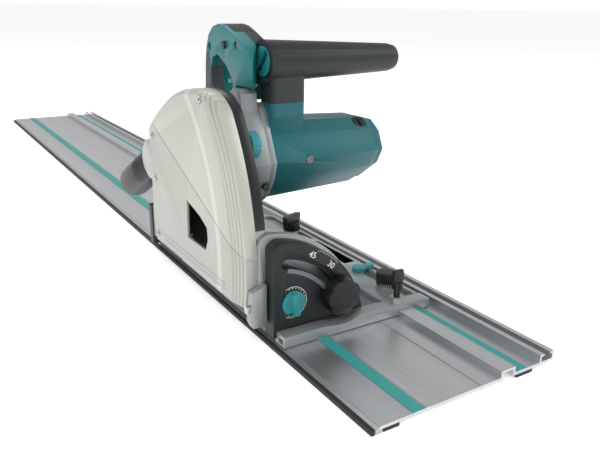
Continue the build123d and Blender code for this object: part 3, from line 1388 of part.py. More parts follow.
def handle_half(x0, x1):
    """One half of the D-shaped handle, between two planes across X."""
    with BuildPart() as half:
        with BuildSketch(side(x0)):
            add(polygon(*handle_outline))
            add(polygon(*opening_outline), mode=Mode.SUBTRACT)
        extrude(amount=x1 - x0)
        with BuildSketch(side(handle_x - switch_room_width / 2)):
            add(polygon(*switch_room))
        extrude(amount=switch_room_width, mode=Mode.SUBTRACT)
        # room for the round end of the front grip and its disc
        with BuildSketch(side(handle_x)):
            with Locations((at(grip_u), grip_z)):
                Circle(grip_r + face_gap)
            add(polygon((95, 200), (95, grip_z + 18), (grip_u + 4, grip_z + 18), (pedestal_u[1] + 0.4, grip_z),
                        (pedestal_u[1] + 0.4, 200)))
        extrude(amount=40, mode=Mode.SUBTRACT)
        with BuildSketch(level(handle_floor - 20)):
            with BuildLine():
                Polyline((handle_left - 1, at(103)), (handle_x + 1, at(122)), (handle_x + 1, at(90)),
                         (handle_left - 1, at(90)), close=True)
            make_face()
        extrude(amount=60, mode=Mode.SUBTRACT)
        with BuildSketch(side(handle_x - lever_slot_width / 2)):
            add(polygon(*lever_slot))
        extrude(amount=lever_slot_width, mode=Mode.SUBTRACT)
        # bed of the rubber overmould
        with BuildSketch(side(handle_left + overmould_inset)):
            add(polygon(*(overmould_outer + overmould_inner)))
        extrude(amount=handle_width - 2 * overmould_inset, mode=Mode.SUBTRACT)
        for place, hole_r in ((trigger_hinge, trigger_pin_r), (lever_pivot, lever_pin_r)):
            with BuildSketch(side(handle_left + 2)):
                with Locations((at(place[0]), place[1])):
                    Circle(hole_r + running_gap)
            extrude(amount=handle_width - 4, mode=Mode.SUBTRACT)
        with BuildSketch(side(handle_left - 1)):
            with Locations((at(lock_off_place[0]), lock_off_place[1])):
                Circle(lock_off_r + running_gap)
        extrude(amount=handle_width / 2, mode=Mode.SUBTRACT)
        with BuildSketch(side(handle_left - 1)):
            with Locations(*[(at(u), z) for u, z in handle_screws_at]):
                Circle(handle_screw_r + running_gap)
        extrude(amount=handle_width - 3, mode=Mode.SUBTRACT)
        with BuildSketch(side(handle_left - 1)):
            with Locations(*[(at(u), z) for u, z in handle_screws_at]):
                Circle(handle_screw_head_r + running_gap)
        extrude(amount=4, mode=Mode.SUBTRACT)
        with BuildSketch(facing(inlet_place[0] + 1)):
            with Locations((handle_x, inlet_place[1])):
                Circle(inlet_neck_r + running_gap)
        extrude(amount=14, mode=Mode.SUBTRACT)
    return half.part


with BuildPart() as handle_left_shell:
    add(handle_half(handle_left, handle_x))
finish(handle_left_shell, "handle_left_shell")

with BuildPart() as handle_right_shell:
    add(handle_half(handle_x, handle_right))
finish(handle_right_shell, "handle_right_shell")

with BuildPart() as handle_overmould:
    with BuildSketch(side(handle_left + overmould_inset)):
        add(polygon(*(overmould_outer + overmould_inner)))
    extrude(amount=handle_width - 2 * overmould_inset)
    for place_u, place_z in handle_screws_at:
        with BuildSketch(side(handle_left)):
            with Locations((at(place_u), place_z)):
                Circle(handle_screw_head_r + running_gap)
        extrude(amount=handle_width, mode=Mode.SUBTRACT)
finish(handle_overmould, "handle_overmould")

# ---------------------------------------------------------------- front grip, its disc and the stored key
grip_start_x = 46.4
disc_r = 13.4
disc_x = (46.0, 51.0)
key_across = 5.0
key_bore_r = 3.2
key_angle = -47.6
key_elbow = -9.0
key_tip = 12.0
key_x = (47.6, 108.0)
grip_round = 12.0
neck_join_z = grip_z - 6
key_slot_mid = (key_elbow + key_tip) / 2


def along_key(distance):
    """Point of the key's short arm, at a distance from the grip's axis, as (Y, Z)."""
    return (at(grip_u) + distance * cos(radians(key_angle)), grip_z + distance * sin(radians(key_angle)))


with BuildPart() as front_grip:
    with BuildSketch(Plane(origin=(0, at(grip_u), grip_z), x_dir=(1, 0, 0), z_dir=(0, -1, 0))):
        with BuildLine():
            Polyline((grip_start_x, 0), (grip_start_x, grip_r), (grip_end_x - grip_round, grip_end_r),
                     (grip_end_x - grip_round * 0.38, grip_end_r * 0.87),
                     (grip_end_x - grip_round * 0.1, grip_end_r * 0.6), (grip_end_x, grip_end_r * 0.25),
                     (grip_end_x, 0), close=True)
        make_face()
    revolve(axis=Axis((0, at(grip_u), grip_z), (1, 0, 0)))
    with BuildSketch(level(pedestal_top)):
        with Locations((sum(pedestal_x) / 2, at(sum(pedestal_u) / 2))):
            RectangleRounded(pedestal_x[1] - pedestal_x[0], pedestal_u[1] - pedestal_u[0], 6)
    extrude(amount=neck_join_z - pedestal_top)
    with BuildSketch(side(grip_start_x)):
        with Locations((at(grip_u), grip_z)):
            Circle(disc_r + running_gap)
    extrude(amount=disc_x[1] - grip_start_x, mode=Mode.SUBTRACT)
    with BuildSketch(side(grip_start_x)):
        with Locations(along_key(key_elbow)):
            Circle(key_bore_r)
    extrude(amount=key_x[1] - grip_start_x + 3, mode=Mode.SUBTRACT)
finish(front_grip, "front_grip")

with BuildPart() as grip_disc:
    with BuildSketch(side(disc_x[0])):
        with Locations((at(grip_u), grip_z)):
            Circle(disc_r)
        with Locations(along_key(key_slot_mid)):
            SlotOverall(key_tip - key_elbow + 2 * key_bore_r + 0.4, 2 * key_bore_r, rotation=key_angle,
                        mode=Mode.SUBTRACT)
    extrude(amount=disc_x[1] - disc_x[0])
finish(grip_disc, "grip_disc")

with BuildPart() as hex_key:
    with BuildSketch(side(key_x[0])):
        with Locations(along_key(key_elbow)):
            RegularPolygon(key_across / 2, 6, major_radius=False, rotation=key_angle)
    extrude(amount=key_x[1] - key_x[0])
    with BuildSketch(side(key_x[0])):
        with Locations(along_key(key_slot_mid)):
            Rectangle(key_tip - key_elbow, key_across - 0.4, rotation=key_angle)
    extrude(amount=disc_x[1] - key_x[0] - 0.2)
finish(hex_key, "hex_key")

# ---------------------------------------------------------------- controls
control_gap = 0.3
trigger_outline = ((154, 214), (157, 210.5), (166, 218.5), (178, 224), (184, 227.5), (186.6, 231.5),
                   (183, 234.5), (160, 229), (153.8, 221))
with BuildPart() as trigger:
    with BuildSketch(side(handle_x - switch_room_width / 2 + control_gap)):
        add(polygon(*trigger_outline))
    extrude(amount=switch_room_width - 2 * control_gap)
    with BuildSketch(side(handle_left + 2.5)):
        with Locations((at(trigger_hinge[0]), trigger_hinge[1])):
            Circle(trigger_pin_r)
    extrude(amount=handle_width - 5)
finish(trigger, "trigger")

with BuildPart() as power_switch:
    with BuildSketch(side(handle_x - 7)):
        add(polygon((168, 238.5), (186, 238.5), (186, 241), (178.5, 247.6), (168, 247.6)))
    extrude(amount=14)
finish(power_switch, "power_switch")

with BuildPart() as lock_off_button:
    add(bar_x(lock_off_place[0], lock_off_place[1], lock_off_r, handle_left - 2, handle_left + 9))
    add(bar_x(lock_off_place[0], lock_off_place[1], lock_off_r + 1.2,
              handle_x - switch_room_width / 2 + face_gap, handle_x - switch_room_width / 2 + 1.8))
finish(lock_off_button, "lock_off_button")

lever_top = 208.6
lever_bar_width = 22.0
with BuildPart() as plunge_lever:
    with BuildSketch(side(handle_x - lever_slot_width / 2 + control_gap)):
        with Locations((at(lever_pivot[0]), lever_pivot[1])):
            Circle(2.8)
        add(polygon((151.6, lever_pivot[1]), (151.2, lever_top), (156.8, lever_top), (156.4, lever_pivot[1])))
    extrude(amount=lever_slot_width - 2 * control_gap)
    with BuildSketch(side(handle_x - lever_bar_width / 2)):
        add(polygon((150.6, lever_top - 4), (150.2, lever_top), (157.6, lever_top), (157.2, lever_top - 4)))
    extrude(amount=lever_bar_width)
    with BuildSketch(side(handle_left + 2.5)):
        with Locations((at(lever_pivot[0]), lever_pivot[1])):
            Circle(lever_pin_r)
    extrude(amount=handle_width - 5)
finish(plunge_lever, "plunge_lever")

with BuildPart() as stop_pin:
    add(bar_x(stop_pin_u, stop_pin_z, stop_pin_r, stop_pin_x[0], stop_pin_x[1]))
finish(stop_pin, "stop_pin")

lock_pin_end_u = blade_u - spindle_r - 1.0
with BuildPart() as shaft_lock:
    with BuildSketch(facing(lock_button_u[1])):
        with Locations((lock_x, lock_z)):
            Circle(lock_button_r)
    extrude(amount=lock_button_u[1] - lock_button_u[0])
    with BuildSketch(facing(lock_pin_end_u)):
        with Locations((lock_x, lock_z)):
            Circle(lock_pin_r)
    extrude(amount=lock_pin_end_u - lock_button_u[1])
finish(shaft_lock, "shaft_lock")

with BuildPart() as speed_dial:
    add(bar_x(speed_dial_place[0], speed_dial_place[1], speed_dial_r, speed_dial_x[0], speed_dial_x[1]))
    add(bar_x(speed_dial_place[0], speed_dial_place[1], 2.5, speed_dial_x[0] - 3.6, speed_dial_x[0]))
finish(speed_dial, "speed_dial")

with BuildPart() as cord_inlet:
    with BuildSketch(facing(inlet_place[0] + 0.3)):
        with Locations((handle_x, inlet_place[1])):
            Circle(inlet_neck_r)
    extrude(amount=11)
    with BuildSketch(facing(inlet_place[0] + 0.3)):
        with Locations((handle_x, inlet_place[1])):
            Circle(inlet_r)
    with BuildSketch(facing(inlet_place[0] + 20)):
        with Locations((handle_x, inlet_place[1])):
            Circle(inlet_r - 2.4)
    loft()
    with BuildSketch(facing(inlet_place[0] + 20)):
        with Locations((handle_x, inlet_place[1])):
            Circle(3.6)
    extrude(amount=28, mode=Mode.SUBTRACT)
finish(cord_inlet, "cord_inlet")

with BuildPart() as housing_screws:
    for place_u, place_z in handle_screws_at:
        add(bar_x(place_u, place_z, handle_screw_head_r, handle_left + 1.2, handle_left + 3))
        add(bar_x(place_u, place_z, handle_screw_r, handle_left + 3, handle_right - 4.2))
    with BuildSketch(facing(motor_screw[2] - 0.1)):
        with Locations(motor_screw[:2]):
            Circle(3.9)
    extrude(amount=1.5)
    with BuildSketch(facing(motor_screw[2] + 5)):
        with Locations(motor_screw[:2]):
            Circle(motor_screw_r)
    extrude(amount=5.1)
finish(housing_screws, "housing_screws")

# ---------------------------------------------------------------- blade, spindle and gears
blade_x = (-2.0, -2.0 + blade_plate)
teeth_x = (-blade_gap - kerf, -blade_gap)
tooth_pitch = 360 / tooth_count
blade_r = blade_diameter / 2
flange_r = 15.0
flange_boss_r = blade_bore / 2 - 0.03
press_gap = 0.02
spindle_x = (-4.5, 43.8)
bolt_hex_r = 6.5
blade_bolt_r = 3.9
tooth_profile = ((-3.2, 5.5), (-1.6, 7.7), (0.6, 5.5), (0.0, 0.3), (2.2, 0.7), (3.6, 3.5))
tip_profile = ((0.0, 0.0), (1.7, 0.35), (1.5, 4.0), (0.45, 4.0))

with BuildPart() as saw_blade:
    with BuildSketch(side(blade_x[0])):
        with BuildLine():
            Polyline(*[polar(blade_centre, blade_r - depth, tooth * tooth_pitch + angle)
                       for tooth in range(tooth_count) for angle, depth in tooth_profile], close=True)
        make_face()
        with Locations(blade_centre):
            Circle(blade_bore / 2, mode=Mode.SUBTRACT)
    extrude(amount=blade_plate)
    with BuildSketch(side(teeth_x[0])):
        for tooth in range(tooth_count):
            with BuildLine():
                Polyline(*[polar(blade_centre, blade_r - depth, tooth * tooth_pitch + angle)
                           for angle, depth in tip_profile], close=True)
            make_face()
    extrude(amount=kerf)
finish(saw_blade, "saw_blade")

with BuildPart() as inner_flange:
    add(tube_x(blade_u, blade_z, flange_r, spindle_r + press_gap, blade_x[1], blade_x[1] + 3))
    add(tube_x(blade_u, blade_z, flange_boss_r, spindle_r + press_gap, blade_x[0] + 0.1, blade_x[1]))
finish(inner_flange, "inner_flange")

with BuildPart() as outer_flange:
    add(tube_x(blade_u, blade_z, flange_r, spindle_r + press_gap, spindle_x[0] - 0.1, blade_x[0]))
    add(tube_x(blade_u, blade_z, flange_r, blade_bolt_r + 0.2, blade_x[0] - 4, spindle_x[0] - 0.1))
finish(outer_flange, "outer_flange")

with BuildPart() as blade_bolt:
    with BuildSketch(side(blade_x[0] - 4)):
        with Locations(blade_centre):
            RegularPolygon(bolt_hex_r, 6, major_radius=False)
    extrude(amount=-5.5)
    add(bar_x(blade_u, blade_z, blade_bolt_r, blade_x[0] - 4, 8.0))
finish(blade_bolt, "blade_bolt")

with BuildPart() as spindle:
    add(bar_x(blade_u, blade_z, spindle_r, spindle_x[0], spindle_x[1]))
    add(bar_x(blade_u, blade_z, spindle_end_r, spindle_x[1], spindle_end_bearing[2]))
    with BuildSketch(side(spindle_x[0])):
        with Locations(blade_centre):
            Circle(blade_bolt_r + 0.1)
    extrude(amount=14, mode=Mode.SUBTRACT)
    with BuildSketch(facing(blade_u)):
        with Locations((lock_x, lock_z)):
            Circle(lock_pin_r + 0.1)
    extrude(amount=spindle_r + 1, both=True, mode=Mode.SUBTRACT)
finish(spindle, "spindle")

mesh_angle = degrees(atan2(motor_z - blade_z, motor_u - blade_u))
tooth_share = 0.40


def gear_outline(centre, teeth, root_r, pitch_r, tip_r, first_angle):
    """Outline of a spur gear with straight-sided teeth, the first tooth centred on first_angle."""
    half_pitch = 180 / teeth
    outline = []
    for tooth in range(teeth):
        middle = first_angle + tooth * 2 * half_pitch
        root_half = half_pitch * (tooth_share + 0.2)
        tip_half = half_pitch * (tooth_share - 0.16)
        for shift, radius in ((-root_half, root_r), (-half_pitch * tooth_share, pitch_r), (-tip_half, tip_r),
                              (tip_half, tip_r), (half_pitch * tooth_share, pitch_r), (root_half, root_r)):
            outline.append(polar(centre, radius, middle + shift))
    return outline


with BuildPart() as spindle_gear:
    with BuildSketch(side(gear_x[0])):
        with BuildLine():
            Polyline(*gear_outline(blade_centre, gear_teeth, gear_root_r, gear_pitch_r, gear_tip_r, mesh_angle),
                     close=True)
        make_face()
        with Locations(blade_centre):
            Circle(spindle_r + press_gap, mode=Mode.SUBTRACT)
    extrude(amount=gear_x[1] - gear_x[0])
finish(spindle_gear, "spindle_gear")

with BuildPart() as armature_shaft:
    with BuildSketch(side(gear_x[0])):
        with BuildLine():
            Polyline(*gear_outline(motor_centre, pinion_teeth, pinion_root_r, pinion_pitch_r, pinion_tip_r,
                                   mesh_angle + 180 + 180 / pinion_teeth), close=True)
        make_face()
    extrude(amount=gear_x[1] - gear_x[0])
    add(bar_x(motor_u, motor_z, pinion_root_r, gear_x[0] - 0.6, gear_x[0]))
    add(bar_x(motor_u, motor_z, shaft_r, gear_x[1], motor_end_bearing[2]))
finish(armature_shaft, "armature_shaft")

core_slots = 12
with BuildPart() as armature_core:
    with BuildSketch(side(core_x[0])):
        with Locations(motor_centre):
            Circle(core_r)
            with PolarLocations(core_r, core_slots):
                Rectangle(7.0, 2.0, mode=Mode.SUBTRACT)
    extrude(amount=core_x[1] - core_x[0])
    with BuildSketch(side(core_x[0] - 5)):
        with Locations(motor_centre):
            Circle(core_r - 3)
    extrude(amount=core_x[1] - core_x[0] + 10)
    with BuildSketch(side(core_x[0] - 6)):
        with Locations(motor_centre):
            Circle(shaft_r + press_gap)
    extrude(amount=80, mode=Mode.SUBTRACT)
finish(armature_core, "armature_core")

with BuildPart() as commutator:
    add(tube_x(motor_u, motor_z, commutator_r, shaft_r + press_gap, commutator_x[0], commutator_x[1]))
    add(tube_x(motor_u, motor_z, commutator_r + 1.6, shaft_r + press_gap, commutator_x[0] - 2,
               commutator_x[0] + 2))
finish(commutator, "commutator")

fan_blades = 9
fan_r = 26.5
fan_x = (56.0, 66.0)
fan_disc = 2.0
with BuildPart() as cooling_fan:
    add(bar_x(motor_u, motor_z, fan_r, fan_x[0], fan_x[0] + fan_disc))
    add(bar_x(motor_u, motor_z, 8.0, fan_x[0], fan_x[1]))
    with BuildSketch(side(fan_x[0])):
        with Locations(motor_centre):
            with PolarLocations((fan_r + 11) / 2, fan_blades):
                Rectangle(fan_r - 11, 1.6)
    extrude(amount=fan_x[1] - fan_x[0])
    with BuildSketch(side(fan_x[0] - 1)):
        with Locations(motor_centre):
            Circle(shaft_r + press_gap)
    extrude(amount=20, mode=Mode.SUBTRACT)
finish(cooling_fan, "cooling_fan")
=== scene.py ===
import json
import math

import bmesh
import bpy
from mathutils import Matrix, Vector

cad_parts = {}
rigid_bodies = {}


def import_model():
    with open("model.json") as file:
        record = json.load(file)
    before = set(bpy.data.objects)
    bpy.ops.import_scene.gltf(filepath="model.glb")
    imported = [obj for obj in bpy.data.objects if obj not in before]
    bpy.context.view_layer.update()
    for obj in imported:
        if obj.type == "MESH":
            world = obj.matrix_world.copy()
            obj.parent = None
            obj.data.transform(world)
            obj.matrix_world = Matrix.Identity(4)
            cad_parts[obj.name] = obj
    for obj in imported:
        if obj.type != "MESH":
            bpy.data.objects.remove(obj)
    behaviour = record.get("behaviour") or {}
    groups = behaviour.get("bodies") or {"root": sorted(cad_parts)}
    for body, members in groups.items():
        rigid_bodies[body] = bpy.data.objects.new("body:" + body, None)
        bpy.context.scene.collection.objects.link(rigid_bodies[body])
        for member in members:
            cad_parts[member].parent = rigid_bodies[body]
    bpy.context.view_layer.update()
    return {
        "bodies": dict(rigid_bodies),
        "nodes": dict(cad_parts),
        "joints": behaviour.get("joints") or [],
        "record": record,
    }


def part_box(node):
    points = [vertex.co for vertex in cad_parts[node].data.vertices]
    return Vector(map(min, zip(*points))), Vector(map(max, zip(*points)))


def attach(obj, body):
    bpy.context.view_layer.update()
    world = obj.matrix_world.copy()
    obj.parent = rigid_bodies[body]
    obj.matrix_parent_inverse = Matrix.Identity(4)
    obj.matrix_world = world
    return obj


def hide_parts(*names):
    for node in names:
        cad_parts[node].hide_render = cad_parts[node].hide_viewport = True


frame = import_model()
nodes = frame["nodes"]
print("frame loaded:", len(nodes), "nodes")

# the saw's front edge lies this far along the rail; side-view places are (u, z) in mm from there
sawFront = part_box("base_plate")[0][1]


def spot(x, u, z):
    return Vector((x / 1000, sawFront + u / 1000, z / 1000))


# shader maths: one wrapped socket that takes + - * and hands out other nodes
class Wire:
    def __init__(self, finish, socket):
        self.finish = finish
        self.socket = socket

    def maths(self, operation, first, second):
        return self.finish.node("ShaderNodeMath", {"operation": operation}, {0: first, 1: second})

    def __add__(self, other):
        return self.maths("ADD", self, other)

    __radd__ = __add__

    def __mul__(self, other):
        return self.maths("MULTIPLY", self, other)

    __rmul__ = __mul__

    def __sub__(self, other):
        return self.maths("SUBTRACT", self, other)

    def __rsub__(self, other):
        return self.maths("SUBTRACT", other, self)

    def clamp(self):
        return self.finish.node("ShaderNodeClamp", {}, {0: self})

    def step(self, low, high):
        return self.finish.node("ShaderNodeMapRange", {"interpolation_type": "SMOOTHSTEP"},
                                {0: self, 1: low, 2: high, 3: 0.0, 4: 1.0})


class Finish:
    def __init__(self, name, colour, metallic=0.0, roughness=0.5, coat=0.0):
        self.material = bpy.data.materials.new(name)
        self.material.use_nodes = True
        self.tree = self.material.node_tree
        self.shader = self.tree.nodes["Principled BSDF"]
        self.colour = self.node("ShaderNodeRGB", {}, {})
        self.colour.socket.default_value = (*colour, 1)
        self.shader.inputs["Metallic"].default_value = metallic
        self.shader.inputs["Roughness"].default_value = roughness
        self.shader.inputs["Coat Weight"].default_value = coat
        self.shader.inputs["Coat Roughness"].default_value = 0.15
        self.place = self.node("ShaderNodeTexCoord", {}, {}, "Object")
        self.put("Base Color", self.colour)

    def maths(self, operation, first, second):
        return self.node("ShaderNodeMath", {"operation": operation}, {0: first, 1: second})

    def node(self, kind, settings, inputs, output=0):
        made = self.tree.nodes.new(kind)
        for name, value in settings.items():
            if name == "stops":
                for element, (position, tone) in zip(made.color_ramp.elements, value):
                    element.position = position
                    element.color = (*tone, 1)
            else:
                setattr(made, name, value)
        for name, value in inputs.items():
            if isinstance(value, Wire):
                self.tree.links.new(value.socket, made.inputs[name])
            else:
                made.inputs[name].default_value = value
        return Wire(self, made.outputs[output])

    def put(self, name, value):
        wanted = self.shader.inputs[name]
        for link in list(wanted.links):
            self.tree.links.remove(link)
        self.tree.links.new(value.socket, wanted)

    def stretched(self, scale):
        return self.node("ShaderNodeVectorMath", {"operation": "MULTIPLY"}, {0: self.place, 1: scale})

    def noise(self, scale, detail=2.0, rough=0.5, vector=None):
        return self.node("ShaderNodeTexNoise", {}, {"Vector": vector or self.place, "Scale": scale,
                                                    "Detail": detail, "Roughness": rough}, "Fac")

    def mix(self, factor, first, second):
        mixer = self.tree.nodes.new("ShaderNodeMix")
        mixer.data_type = "RGBA"
        for index, value in ((0, factor), (6, first), (7, second)):
            if isinstance(value, Wire):
                self.tree.links.new(value.socket, mixer.inputs[index])
            else:
                mixer.inputs[index].default_value = value if index == 0 else (*value, 1)
        return Wire(self, mixer.outputs[2])

    def side(self):
        # side-view place on the machine, as (u, z) in mm
        x, y, z = self.xyz()
        return (y - sawFront) * 1000, z * 1000

    def band(self, value, middle, half, soft=0.4):
        rise = value.step(middle - half - soft, middle - half)
        return rise * (1 - value.step(middle + half, middle + half + soft))

    def zone(self, corners, soft=0.8):
        # inside of a convex outline in (u, z), corners going anticlockwise
        u, z = self.side()
        inside = None
        for (u0, z0), (u1, z1) in zip(corners, corners[1:] + corners[:1]):
            length = math.hypot(u1 - u0, z1 - z0)
            nu, nz = -(z1 - z0) / length, (u1 - u0) / length
            edge = (u * nu + z * nz - (u0 * nu + z0 * nz)).step(-soft / 2, soft / 2)
            inside = edge if inside is None else inside * edge
        return inside

    def bump(self, height, strength, distance=0.001):
        self.put("Normal", self.node("ShaderNodeBump", {}, {"Height": height, "Strength": strength,
                                                            "Distance": distance}))

    def xyz(self):
        split = self.tree.nodes.new("ShaderNodeSeparateXYZ")
        self.tree.links.new(self.place.socket, split.inputs[0])
        return [Wire(self, out) for out in split.outputs]


# finishes
finishes = {}


def castPaint(name, colour, metallic=0.45, roughness=0.42, grain=1500, relief=0.10):
    f = Finish(name, colour, metallic)
    cloud = f.noise(9, 4)
    flake = f.noise(grain, 2)
    shade = f.mix(cloud.step(0.35, 0.7) * 0.35, f.colour, tuple(c * 0.86 for c in colour))
    f.paint = f.mix(flake.step(0.52, 0.68) * 0.22, shade, tuple(min(1, c * 1.16) for c in colour))
    f.put("Base Color", f.paint)
    f.put("Roughness", flake * 0.12 + cloud * 0.10 + (roughness - 0.11))
    f.bump(flake + f.noise(260, 3) * 0.8, relief)
    finishes[name] = f.material
    return f


def mouldedPlastic(name, colour, roughness=0.46, grain=2600, relief=0.16, coat=0.0):
    f = Finish(name, colour, 0.0, roughness, coat)
    cloud = f.noise(14, 3)
    pores = f.noise(grain, 2, 0.6)
    f.put("Base Color", f.mix(cloud.step(0.3, 0.75) * 0.5, f.colour, tuple(c * 0.82 for c in colour)))
    f.put("Roughness", pores * 0.16 + cloud * 0.08 + (roughness - 0.12))
    f.bump(pores, relief)
    finishes[name] = f.material
    return f


def turnedSteel(name, colour, roughness=0.3, lines=(60, 900, 900)):
    f = Finish(name, colour, 1.0)
    streak = f.noise(3, 3, 0.6, f.stretched(lines))
    f.put("Base Color", f.mix(streak * 0.4, f.colour, tuple(c * 0.7 for c in colour)))
    f.put("Roughness", streak * 0.18 + (roughness - 0.08))
    f.bump(streak, 0.08)
    finishes[name] = f.material
    return f


def extrudedAluminium():
    f = Finish("railAluminium", (0.60, 0.61, 0.625), 0.88)
    lines = f.noise(2, 3, 0.65, f.stretched((700, 1.2, 700)))
    broad = f.noise(1.6, 2, 0.5, f.stretched((26, 0.7, 1)))
    spots = f.noise(240, 2)
    worn = f.mix(broad.step(0.3, 0.7) * 0.55, f.colour, (0.47, 0.485, 0.50))
    f.put("Base Color", f.mix(lines.step(0.45, 0.8) * 0.45, worn, (0.76, 0.77, 0.78)))
    f.put("Roughness", lines * 0.16 + spots * 0.06 + 0.20)
    f.bump(lines, 0.10)
    finishes["railAluminium"] = f.material


def groundBlade():
    f = Finish("bladeSteel", (0.50, 0.50, 0.49), 1.0)
    centre = spot(-1.3, 128, 115)
    away = f.node("ShaderNodeVectorMath", {"operation": "SUBTRACT"}, {0: f.place, 1: tuple(centre)})
    reach = f.node("ShaderNodeVectorMath", {"operation": "LENGTH"}, {0: away}, "Value")
    rings = f.node("ShaderNodeTexNoise", {"noise_dimensions": "1D"}, {"W": reach * 4200, "Scale": 1.0,
                                                                     "Detail": 2.0}, "Fac")
    f.put("Base Color", f.mix(rings * 0.5, f.colour, (0.34, 0.34, 0.335)))
    f.put("Roughness", rings * 0.22 + 0.16)
    f.bump(rings, 0.10)
    finishes["bladeSteel"] = f.material


def gripRubber(name, colour, roughness=0.62):
    f = Finish(name, colour, 0.0)
    pores = f.node("ShaderNodeTexVoronoi", {}, {"Vector": f.place, "Scale": 1300.0}, "Distance")
    dust = f.noise(20, 4)
    f.put("Base Color", f.mix(dust.step(0.45, 0.8) * 0.4, f.colour, tuple(c * 1.7 + 0.004 for c in colour)))
    f.put("Roughness", pores * 0.14 + dust * 0.08 + (roughness - 0.1))
    f.bump(pores, 0.22)
    finishes[name] = f.material


def plainMark(name, colour, roughness=0.5):
    f = Finish(name, colour, 0.0)
    f.put("Roughness", f.noise(900, 2) * 0.2 + (roughness - 0.1))
    f.put("Base Color", f.mix(f.noise(300, 2) * 0.2, f.colour, tuple(c * 0.85 for c in colour)))
    finishes[name] = f.material


# the blade cover's crease, arc, ridges and grooves, in side-view mm; the cover is painted darker beyond the
# crease and on the ridges and grooves as painted shade, and paler along the arc as a painted highlight
coverForm = {"creaseFrom": (194, 148.3), "creaseTo": (77, 98), "arcCentre": (260, 60), "arcReach": 190,
             "shadedRidges": (42, 47), "ridgeEnds": (60, 204), "grooves": (215.5, 219.5, 223.5, 227.5)}


def pressedCover():
    f = castPaint("coverPaint", (0.50, 0.51, 0.455), 0.35, 0.38)
    u, z = f.side()
    (u0, z0), (u1, z1) = coverForm["creaseFrom"], coverForm["creaseTo"]
    length = math.hypot(u1 - u0, z1 - z0)
    nu, nz = -(z1 - z0) / length, (u1 - u0) / length
    crease = (u * nu + z * nz - (u0 * nu + z0 * nz))
    shadedFold = crease.step(-1.0, 1.0)
    du, dz = u - coverForm["arcCentre"][0], z - coverForm["arcCentre"][1]
    reach = f.maths("SQRT", du * du + dz * dz, 0.0)
    arc = f.band(reach, coverForm["arcReach"], 4.0, 1.2)
    shadedGrooves = f.band(reach, coverForm["grooves"][0], 0.5, 0.5)
    for groove in coverForm["grooves"][1:]:
        shadedGrooves = shadedGrooves + f.band(reach, groove, 0.3, 0.4)
    shadedRidges = f.band(z, coverForm["shadedRidges"][0], 0.7, 0.5) + f.band(z, coverForm["shadedRidges"][1], 0.7, 0.5)
    shadedRidges = shadedRidges * u.step(coverForm["ridgeEnds"][0] - 2, coverForm["ridgeEnds"][0])
    shadedRidges = shadedRidges * (1 - u.step(coverForm["ridgeEnds"][1], coverForm["ridgeEnds"][1] + 2))
    grain = f.noise(1500, 2) * 0.04 + f.noise(260, 3) * 0.03
    # painted shade beyond the crease, a painted highlight along the arc, painted shade in the grooves and
    # along the ridges
    shade = f.mix(shadedFold * 0.35, f.paint, (0.36, 0.375, 0.34))
    shade = f.mix(arc * 0.5, shade, (0.70, 0.71, 0.66))
    f.put("Base Color", f.mix((shadedGrooves + shadedRidges).clamp() * 0.35, shade, (0.34, 0.36, 0.34)))
    f.bump(grain + shadedFold * 1.1 + arc * 0.5 - shadedGrooves * 0.6 + shadedRidges * 0.8, 1.0, 0.0012)


def zoned(name, colour, patches, roughness=0.42, coat=0.1):
    # one moulding in several materials: each patch is (outline in (u, z), colour, roughness)
    f = Finish(name, colour, 0.0, roughness, coat)
    pores = f.noise(2400, 2, 0.6)
    cloud = f.noise(14, 3)
    tone = f.mix(cloud.step(0.3, 0.75) * 0.4, f.colour, tuple(c * 0.82 for c in colour))
    dull = pores * 0.12 + cloud * 0.06 + (roughness - 0.09)
    seams = None
    for outline, patchColour, patchRoughness in patches:
        inside = f.zone(outline)
        tone = f.mix(inside, tone, patchColour)
        dull = dull + inside * (patchRoughness - roughness)
        seams = inside if seams is None else seams + inside
    f.put("Base Color", tone)
    f.put("Roughness", dull)
    f.bump(pores * 0.25 + (seams.clamp() if seams else 0.0) * 0.6, 0.5, 0.0006)
    finishes[name] = f.material


extrudedAluminium()
groundBlade()
pressedCover()
castPaint("housingPaint", (0.27, 0.295, 0.30), 0.55, 0.40, 800, 0.20)
castPaint("bracketPaint", (0.34, 0.365, 0.37), 0.6, 0.38, 900, 0.16)
castPaint("quadrantPaint", (0.016, 0.019, 0.020), 0.25, 0.45, 1400, 0.12)
castPaint("scalePaint", (0.16, 0.20, 0.22), 0.35, 0.42, 1400, 0.08)
# painted shade: the sole's cast pockets are painted darker than its machined tops, heights in mm
pocketShade = {"floor": 7.5, "top": 12.0, "tone": (0.085, 0.10, 0.105), "front": 14}


def castBase():
    f = castPaint("basePaint", (0.36, 0.385, 0.39), 0.6, 0.36, 900, 0.16)
    u, z = f.side()
    behindRim = u.step(pocketShade["front"], pocketShade["front"] + 1.5)
    low = (1 - z.step(pocketShade["floor"], pocketShade["top"])) * behindRim
    rough = f.noise(420, 4)
    # painted shade in the sole's low pockets behind the front rim
    f.put("Base Color", f.mix(low * (0.7 + rough * 0.3), f.paint, pocketShade["tone"]))
    f.bump(rough * low * 0.8 + f.noise(900, 2) * 0.2, 0.5, 0.0008)


# a dark lip outside, a bright edge where the strip clips to the plate
def splinterEdge():
    f = Finish("splinterRubber", (0.010, 0.011, 0.011), 0.0)
    x, y, z = f.xyz()
    clip = x.step(0.0028, 0.0036)
    grain = f.noise(900, 3)
    f.put("Base Color", f.mix(clip, f.mix(grain * 0.4, f.colour, (0.02, 0.022, 0.022)), (0.42, 0.43, 0.44)))
    f.put("Metallic", clip * 0.8)
    f.put("Roughness", 0.62 + grain * 0.1 - clip * 0.3)
    f.bump(grain, 0.2)
    finishes["splinterRubber"] = f.material


